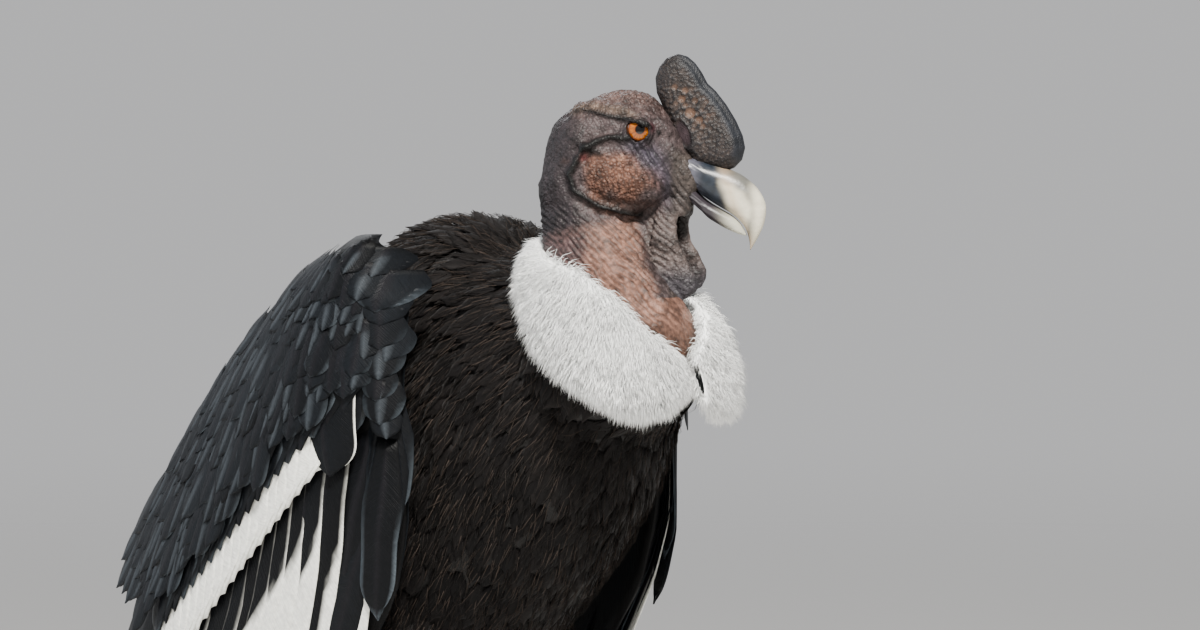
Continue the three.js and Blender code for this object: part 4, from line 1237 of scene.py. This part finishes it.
horn_look = shader("horn", 0.36, Specular_IOR_Level=0.35)
speckle(horn_look, 260, 0.07, 420, 0.00015)
for name, lines, tones_of in (("bill_upper", (CULMEN, TOMIUM, BILL_HALF), upper_tones),
                              ("bill_lower", (JAW_TOP, JAW_BOTTOM, JAW_HALF), lower_tones)):
    points, faces = sheath(*lines)
    place = points @ np.array([0.6, 0.0, 0.8]) + 3 * noise(points, 7, 57)
    fold = ramp(72, 60, points[:, 0]) * np.sin(place * 2.1)
    ripple = 0.35 * (noise(points * (0.5, 1, 1), 5, 54) - 0.5) + 0.3 * fold
    points = points + vertex_normals(points, faces) * (ripple - 0.2)[:, None]
    tones = tones_of(points) * (0.93 + 0.14 * noise(points * (0.35, 1, 1), 2.2, 53))[:, None]
    piece(name + "_horn", from_head(points), faces, horn_look, tones, [name])


# Eyes: a dark pupil in an amber iris
def ball_mesh(radius, rows, sides):
    """A ball's points with the gaze along Z, its faces and each point's angle from the gaze."""
    angle = np.linspace(0, math.pi, rows)[:, None]
    around = np.linspace(0, 2 * math.pi, sides, endpoint=False)[None, :]
    points = np.stack([radius * np.sin(angle) * np.cos(around), radius * np.sin(angle) * np.sin(around),
                       radius * np.cos(angle) + 0 * around], axis=-1)
    return points.reshape(-1, 3), ring_faces(rows, sides), np.repeat(angle, sides)


eye_look = shader("eye", 0.12, Specular_IOR_Level=0.3, Coat_Weight=0.3, Coat_Roughness=0.02)
speckle(eye_look, 1500, 0.12, 300, 0.00002)
points, faces, angle = ball_mesh(EYE_RADIUS, 60, 64)
around = np.arctan2(points[:, 1], points[:, 0])
rays = 0.5 + 0.5 * np.sin(around * 31 + 3 * np.sin(around * 7))
tones = painted(
    (104, 50, 3),
    ((146, 82, 8), rays * ramp(0.3, 0.6, angle)),
    ((122, 58, 14), ramp(0.66, 0.78, angle)),
    ((60, 34, 20), ramp(0.78, 0.86, angle)),
    ((6, 5, 6), ramp(0.36, 0.31, angle)),
)
for side, name in SIDES:
    gaze = unit(np.array([0.30, side * 0.95, 0.04]))
    right = unit(np.cross(gaze, UP))
    turned = points[:, :1] * right + points[:, 1:2] * np.cross(right, gaze) + points[:, 2:] * gaze
    piece("eyeball_" + name, from_head(turned + EYE * (1, side, 1)), faces, eye_look, tones,
          ["eye_" + name])


# Tail: twelve broad feathers, closed, over a root of body feathers
TAIL_ROOT = (-222.0, 366.0)
TAIL_LENGTH = 350.0
TAIL_HALF_WIDTH = 84.0
TAIL_PAIRS = 6


def tail_feathers():
    draw = np.random.default_rng(90)
    rows, columns = 30, 11
    s = np.linspace(0, 1, rows)[None, :, None]
    c = np.linspace(-1, 1, columns)[None, None, :]
    rank = np.repeat(np.arange(TAIL_PAIRS), 2)[:, None, None]
    side = np.tile([-1, 1], TAIL_PAIRS)[:, None, None]
    length = TAIL_LENGTH - 3 - 5 * rank
    tip = 8 + (TAIL_HALF_WIDTH - 34) * rank / 5
    middle = side * (3 + 3 * rank + (tip - 3 - 3 * rank) * s)
    width = 48 * vane_outline(s, 0.9, 0.5)
    across = middle + c * width / 2
    depth = 2.0 * (rank * 2 + (side > 0)) - 9 + 0.9 * c**2 * 2 - 0.7 * dab(c, 0.07)
    far = length * (s - 0.03 * np.abs(c) ** 2.5 * (s > 0.9)) + 4
    front = on_slope(TAIL_ROOT, far, -depth, across)
    back = on_slope(TAIL_ROOT, far, -(depth + 0.9), across)
    tones = dark_vane(draw, s + 0 * across, c + 0 * across, 0.5, 0.45)
    return [(front, back, tones, front[:, 0, columns // 2])]


# Body feathers and plumes
NECK_BASE = np.array([172.0, 0, 668])
FEATHER_SPACING = 9.5
PLUME_SPACING = 4.9
PLUME_THICKNESS = 0.28
FEATHERS_END = 152  # the legs are feathered above this height


def pick_roots(draw, points, faces, spacing_of):
    """Feather roots spread over a mesh, with the skin's normal at each."""
    corners = points[faces]
    a, b, c, d = np.moveaxis(corners, 1, 0)
    area = np.linalg.norm(np.cross(c - a, d - b), axis=1) / 2
    centre = corners.mean(axis=1)
    wanted = area / np.square(spacing_of(centre)) * feathered(centre)
    picked = np.repeat(np.arange(len(faces)), draw.poisson(wanted))
    u, v = draw.random((2, len(picked), 1))
    a, b, c, d = (corner[picked] for corner in (a, b, c, d))
    roots = (a * (1 - u) + b * u) * (1 - v) + (d * (1 - u) + c * u) * v
    return roots, unit(np.cross(c - a, d - b))


def lie_of(roots, normals, draw, spread):
    """The way feathers lie: away from the collar, then back and down along the body, down the thighs."""
    away = unit(roots - NECK_BASE)
    down = np.array([-0.52, 0, -0.85])
    near = ramp(210, 60, np.linalg.norm(roots - NECK_BASE, axis=1))[:, None]
    way = away * near + down * (1.15 - near) + draw.normal(0, spread, roots.shape)
    return unit(way - normals * np.sum(way * normals, axis=1, keepdims=True))


def contour_feathers(roots, normals, ways, lengths, widths, rows=5, columns=5):
    """Small feathers that rise from the skin and bend back to it."""
    s = np.linspace(0, 1, rows)[None, :, None, None]
    c = np.linspace(-1, 1, columns)[None, None, :, None]
    lengths, widths = lengths[:, None, None, None], widths[:, None, None, None]
    n, w, a = (v[:, None, None, :] for v in (normals, ways, unit(np.cross(normals, ways))))
    far = s - 0.10 * np.abs(c) ** 2 * s
    out = c * widths / 2 * vane_outline(s, 0.45, 0.5)
    lift = 0.13 * lengths * (1.3 * s - 0.75 * s**2) + 0.09 * widths * (1 - c**2) + 0.6
    front = roots[:, None, None, :] + w * far * lengths + a * out + n * lift
    s, c = (np.broadcast_to(v[..., 0], front.shape[:3]) for v in (s, c))
    return front, front - n * 0.35, s, c


def body_tones(draw, s, c, roots):
    level = draw.uniform(0, 1, (len(s), 1, 1))
    broad = noise(roots, 60, 61)[:, None, None]
    return painted(
        (7, 6, 7),
        ((24, 21, 20), level * 0.4 + broad * 0.5),
        ((46, 40, 37), ramp(0.8, 1, s) * level * 0.2),
        ((6, 6, 6), dab(c, 0.2) * 0.5 * ramp(1, 0.4, s)),
    )


def coat_spacing(centre):
    return FEATHER_SPACING + 3.8 * ramp(200, 560, np.linalg.norm(centre - NECK_BASE, axis=1))


def feathered(centre):
    """Bare inside the collar, and sparser where the folded wing lies close over the body."""
    x, y, z = centre.T
    side = ramp(96, 118, np.abs(y)) * ramp(40, -10, x)
    middle = 0.5 * (collar_edges(np.array(0.0))[0] + collar_edges(np.array(math.pi))[0])
    inside = np.hypot((x - 168) / 64, y / 58) < 1
    return (1 - 0.6 * side) * ~(inside & (z > middle[2] - 90)) * (z > FEATHERS_END)


body_draw = np.random.default_rng(110)
roots, normals = pick_roots(body_draw, body_points, body_faces, coat_spacing)
order = np.argsort(roots[:, 0])
roots, normals = roots[order], normals[order]
ways = lie_of(roots, normals, body_draw, 0.16)
sizes = coat_spacing(roots) * 2.9 * body_draw.uniform(0.85, 1.2, len(roots))
body_look = shader("body_feathers", 0.62, Specular_IOR_Level=0.06, Sheen_Weight=0.02, Sheen_Roughness=0.5)
speckle(body_look, 520, 0.3, 900, 0.0003)
front, back, s, c = contour_feathers(roots, normals, ways, sizes, sizes * 0.42)
tones = body_tones(body_draw, s, c, roots)
for k, chosen in enumerate(np.array_split(np.arange(len(roots)), 3), start=1):
    layer = [values[chosen] for values in (front, back, tones, roots)]
    coat_piece("body_feathers_%d" % k, [layer], body_look)

# Fine hair-like plumes over the breast, flanks and thighs
roots, normals = pick_roots(body_draw, body_points, body_faces, lambda centre: PLUME_SPACING)
ways = lie_of(roots, normals, body_draw, 0.2) + normals * 0.3
lengths = body_draw.uniform(16, 28, len(roots))
starts = roots + normals * 4
level = body_draw.random(len(roots)) ** 2.6
tones = np.repeat(painted((8, 7, 7), ((52, 44, 39), level)), STRAND_POINTS, axis=0)
half = len(roots) // 2
for k, chosen in enumerate((slice(None, half), slice(half, None)), start=1):
    points, faces = strands(starts[chosen], ways[chosen], lengths[chosen], PLUME_THICKNESS,
                            -0.35 * normals[chosen])
    piece("body_plumes_%d" % k, points, faces, body_look,
          tones.reshape(-1, STRAND_POINTS, 3)[chosen].reshape(-1, 3), patch=strand_patch(roots[chosen]))

# Scapular feathers: they lie over the gap between the back and the folded wing
# The rows of scapulars: place across the gap, first and last place down it
SCAPULAR_ROWS = [(44, 70, 330), (24, 62, 320), (2, 54, 310), (-14, 50, 300)]


def back_line():
    """Down the back in the wing's map: place along it, distance from the middle, and height."""
    offset = body_points[:, [0, 2]] - WRIST
    p, q = offset @ DOWN_WING, offset @ UP_WING
    rows = []
    for key in np.arange(-30.0, 401, 20):
        near = np.abs(p - key) < 8
        top = q[near].max()
        from_middle = 0.72 * body_points[near & (q > top - 60), 1].max()
        edge = near & (np.abs(body_points[:, 1] - from_middle) < 8)
        rows.append((key, from_middle, q[edge].max() + 7))
    return np.array(rows)


BACK_LINE = back_line()


def bridge_point(p, w, depth, side):
    """From the back line out to the wing's back edge: p down the wing, w across the gap."""
    y0, q0 = (np.interp(p, BACK_LINE[:, 0], BACK_LINE[:, k]) for k in (1, 2))
    sunk = ramp(200, 70, p)
    y1, q1 = straight(SPREAD, p) - 21 - 14 * sunk, straight(BACK_EDGE, p) - 26 * sunk
    t = np.clip(w / np.hypot(y1 - y0, q1 - q0), -0.35, 1.1)
    q = q0 + (q1 - q0) * t + 7 * np.sin(math.pi * np.clip(t, 0, 1)) * (1 - sunk) - depth
    return on_slope(WRIST, p, q, side * (y0 + (y1 - y0) * t))


def scapulars(side):
    draw = np.random.default_rng(120 if side > 0 else 130)
    made = []
    for w, first, last in SCAPULAR_ROWS:
        p = np.arange(first, last, 13.0)
        count = len(p)
        p = p + draw.uniform(-3, 3, count)
        roots = np.stack([p, w + draw.uniform(-4, 4, count)], axis=1)
        grown = ramp(-20, 170, p)
        lengths = (52 + 78 * grown) * draw.uniform(0.9, 1.1, count)
        tips = roots + np.stack([lengths, 10 + draw.uniform(-6, 6, count)], axis=1)
        front, back, s, c = vanes(draw, side, roots, tips, width=34 + 12 * grown, depth=1.0, slant=0.0,
                                  rows=14, columns=7, thick=0.5, blunt=0.6, root=0.5, lift=4.0,
                                  scatter=0.5, surface=bridge_point)
        made.append((front, back, dark_vane(draw, s, c, 0.4, 0.6), front[:, 0, 3]))
    return made


for side, name in SIDES:
    coat_piece("scapulars_" + name, scapulars(side), body_look)
coat_piece("tail_feathers", tail_feathers(), feather_look, replaces=["tail"])

# Camera: a long lens, from the front right of the bird and a little above level
AZIMUTH = math.radians(50)
ELEVATION = math.radians(1.5)
DISTANCE = 5.0
SENSOR_WIDTH = 36
PICTURE_WIDTH = 0.912  # metres across the picture at the head
AIM = placed([139.0, 0.7, 663.0])


def look_along(made, back):
    """Turns a camera or a lamp so that its back is towards a direction."""
    made.rotation_euler = back.to_track_quat("Z", "Y").to_euler()


def add_camera():
    data = bpy.data.cameras.new("camera")
    data.sensor_width = SENSOR_WIDTH
    data.lens = SENSOR_WIDTH * DISTANCE / PICTURE_WIDTH
    data.clip_end = 50
    camera = add_object("camera", data)
    level = math.cos(ELEVATION)
    toward = Vector((math.sin(AZIMUTH) * level, -math.cos(AZIMUTH) * level, math.sin(ELEVATION)))
    camera.location = Vector(AIM) + toward * DISTANCE
    look_along(camera, toward)
    bpy.context.scene.camera = camera


add_camera()

# Lights: place, power in watts, size in metres and colour; all are aimed at the bird's middle
MIDDLE = Vector((0.1, 0, 0.55))
LIGHTS = {
    "key": ((2.1, -1.3, 3.0), 420, 0.45, (1, 0.97, 0.91)),
    "fill": ((0.2, -3.2, 1.2), 20, 2.6, (0.86, 0.93, 1)),
    "rim": ((-2.4, 1.2, 2.6), 35, 1.2, (0.95, 0.97, 1)),
    "side": ((-2.4, -2.0, 1.6), 40, 1.6, (0.86, 0.93, 1)),
}
for name, (place, power, size, colour) in LIGHTS.items():
    data = bpy.data.lights.new(name, "AREA")
    data.energy = power
    data.size = size
    data.color = colour
    lamp = add_object(name, data)
    lamp.location = place
    look_along(lamp, Vector(place) - MIDDLE)

STUDIO_GREY = (0.76, 0.76, 0.77, 1)
STUDIO_STRENGTH = 0.75
world = bpy.data.worlds.new("studio")
world.use_nodes = True
background = world.node_tree.nodes["Background"]
background.inputs["Color"].default_value = STUDIO_GREY
background.inputs["Strength"].default_value = STUDIO_STRENGTH
bpy.context.scene.world = world

# Pale floor that fades out into the studio's own grey
FLOOR_REACH = 16.0
FLOOR_SIDES = 96
FLOOR_FADE = (1.5, 0.8 * FLOOR_REACH)


def add_floor():
    turns = [2 * math.pi * k / FLOOR_SIDES for k in range(FLOOR_SIDES)]
    rim = [(FLOOR_REACH * math.cos(turn), FLOOR_REACH * math.sin(turn), 0) for turn in turns]
    data = bpy.data.meshes.new("floor")
    data.from_pydata(rim, [], [tuple(range(FLOOR_SIDES))])
    look = bpy.data.materials.new("floor")
    look.use_nodes = True
    tree = look.node_tree
    surface = tree.nodes["Principled BSDF"]
    surface.inputs["Base Color"].default_value = (0.7, 0.69, 0.67, 1)
    surface.inputs["Roughness"].default_value = 0.9
    surface.inputs["Specular IOR Level"].default_value = 0.1
    place = add_node(tree, "NewGeometry", {}).outputs["Position"]
    far = add_node(tree, "VectorMath", {0: place}, operation="LENGTH").outputs["Value"]
    fade = add_node(tree, "MapRange", {"Value": far, "From Min": FLOOR_FADE[0], "From Max": FLOOR_FADE[1]},
                    interpolation_type="SMOOTHSTEP").outputs["Result"]
    clear = add_node(tree, "BsdfTransparent", {}).outputs["BSDF"]
    joined = add_node(tree, "MixShader", {"Fac": fade, 1: surface.outputs["BSDF"], 2: clear})
    tree.links.new(joined.outputs["Shader"], tree.nodes["Material Output"].inputs["Surface"])
    data.materials.append(look)
    made = add_object("floor", data)


add_floor()
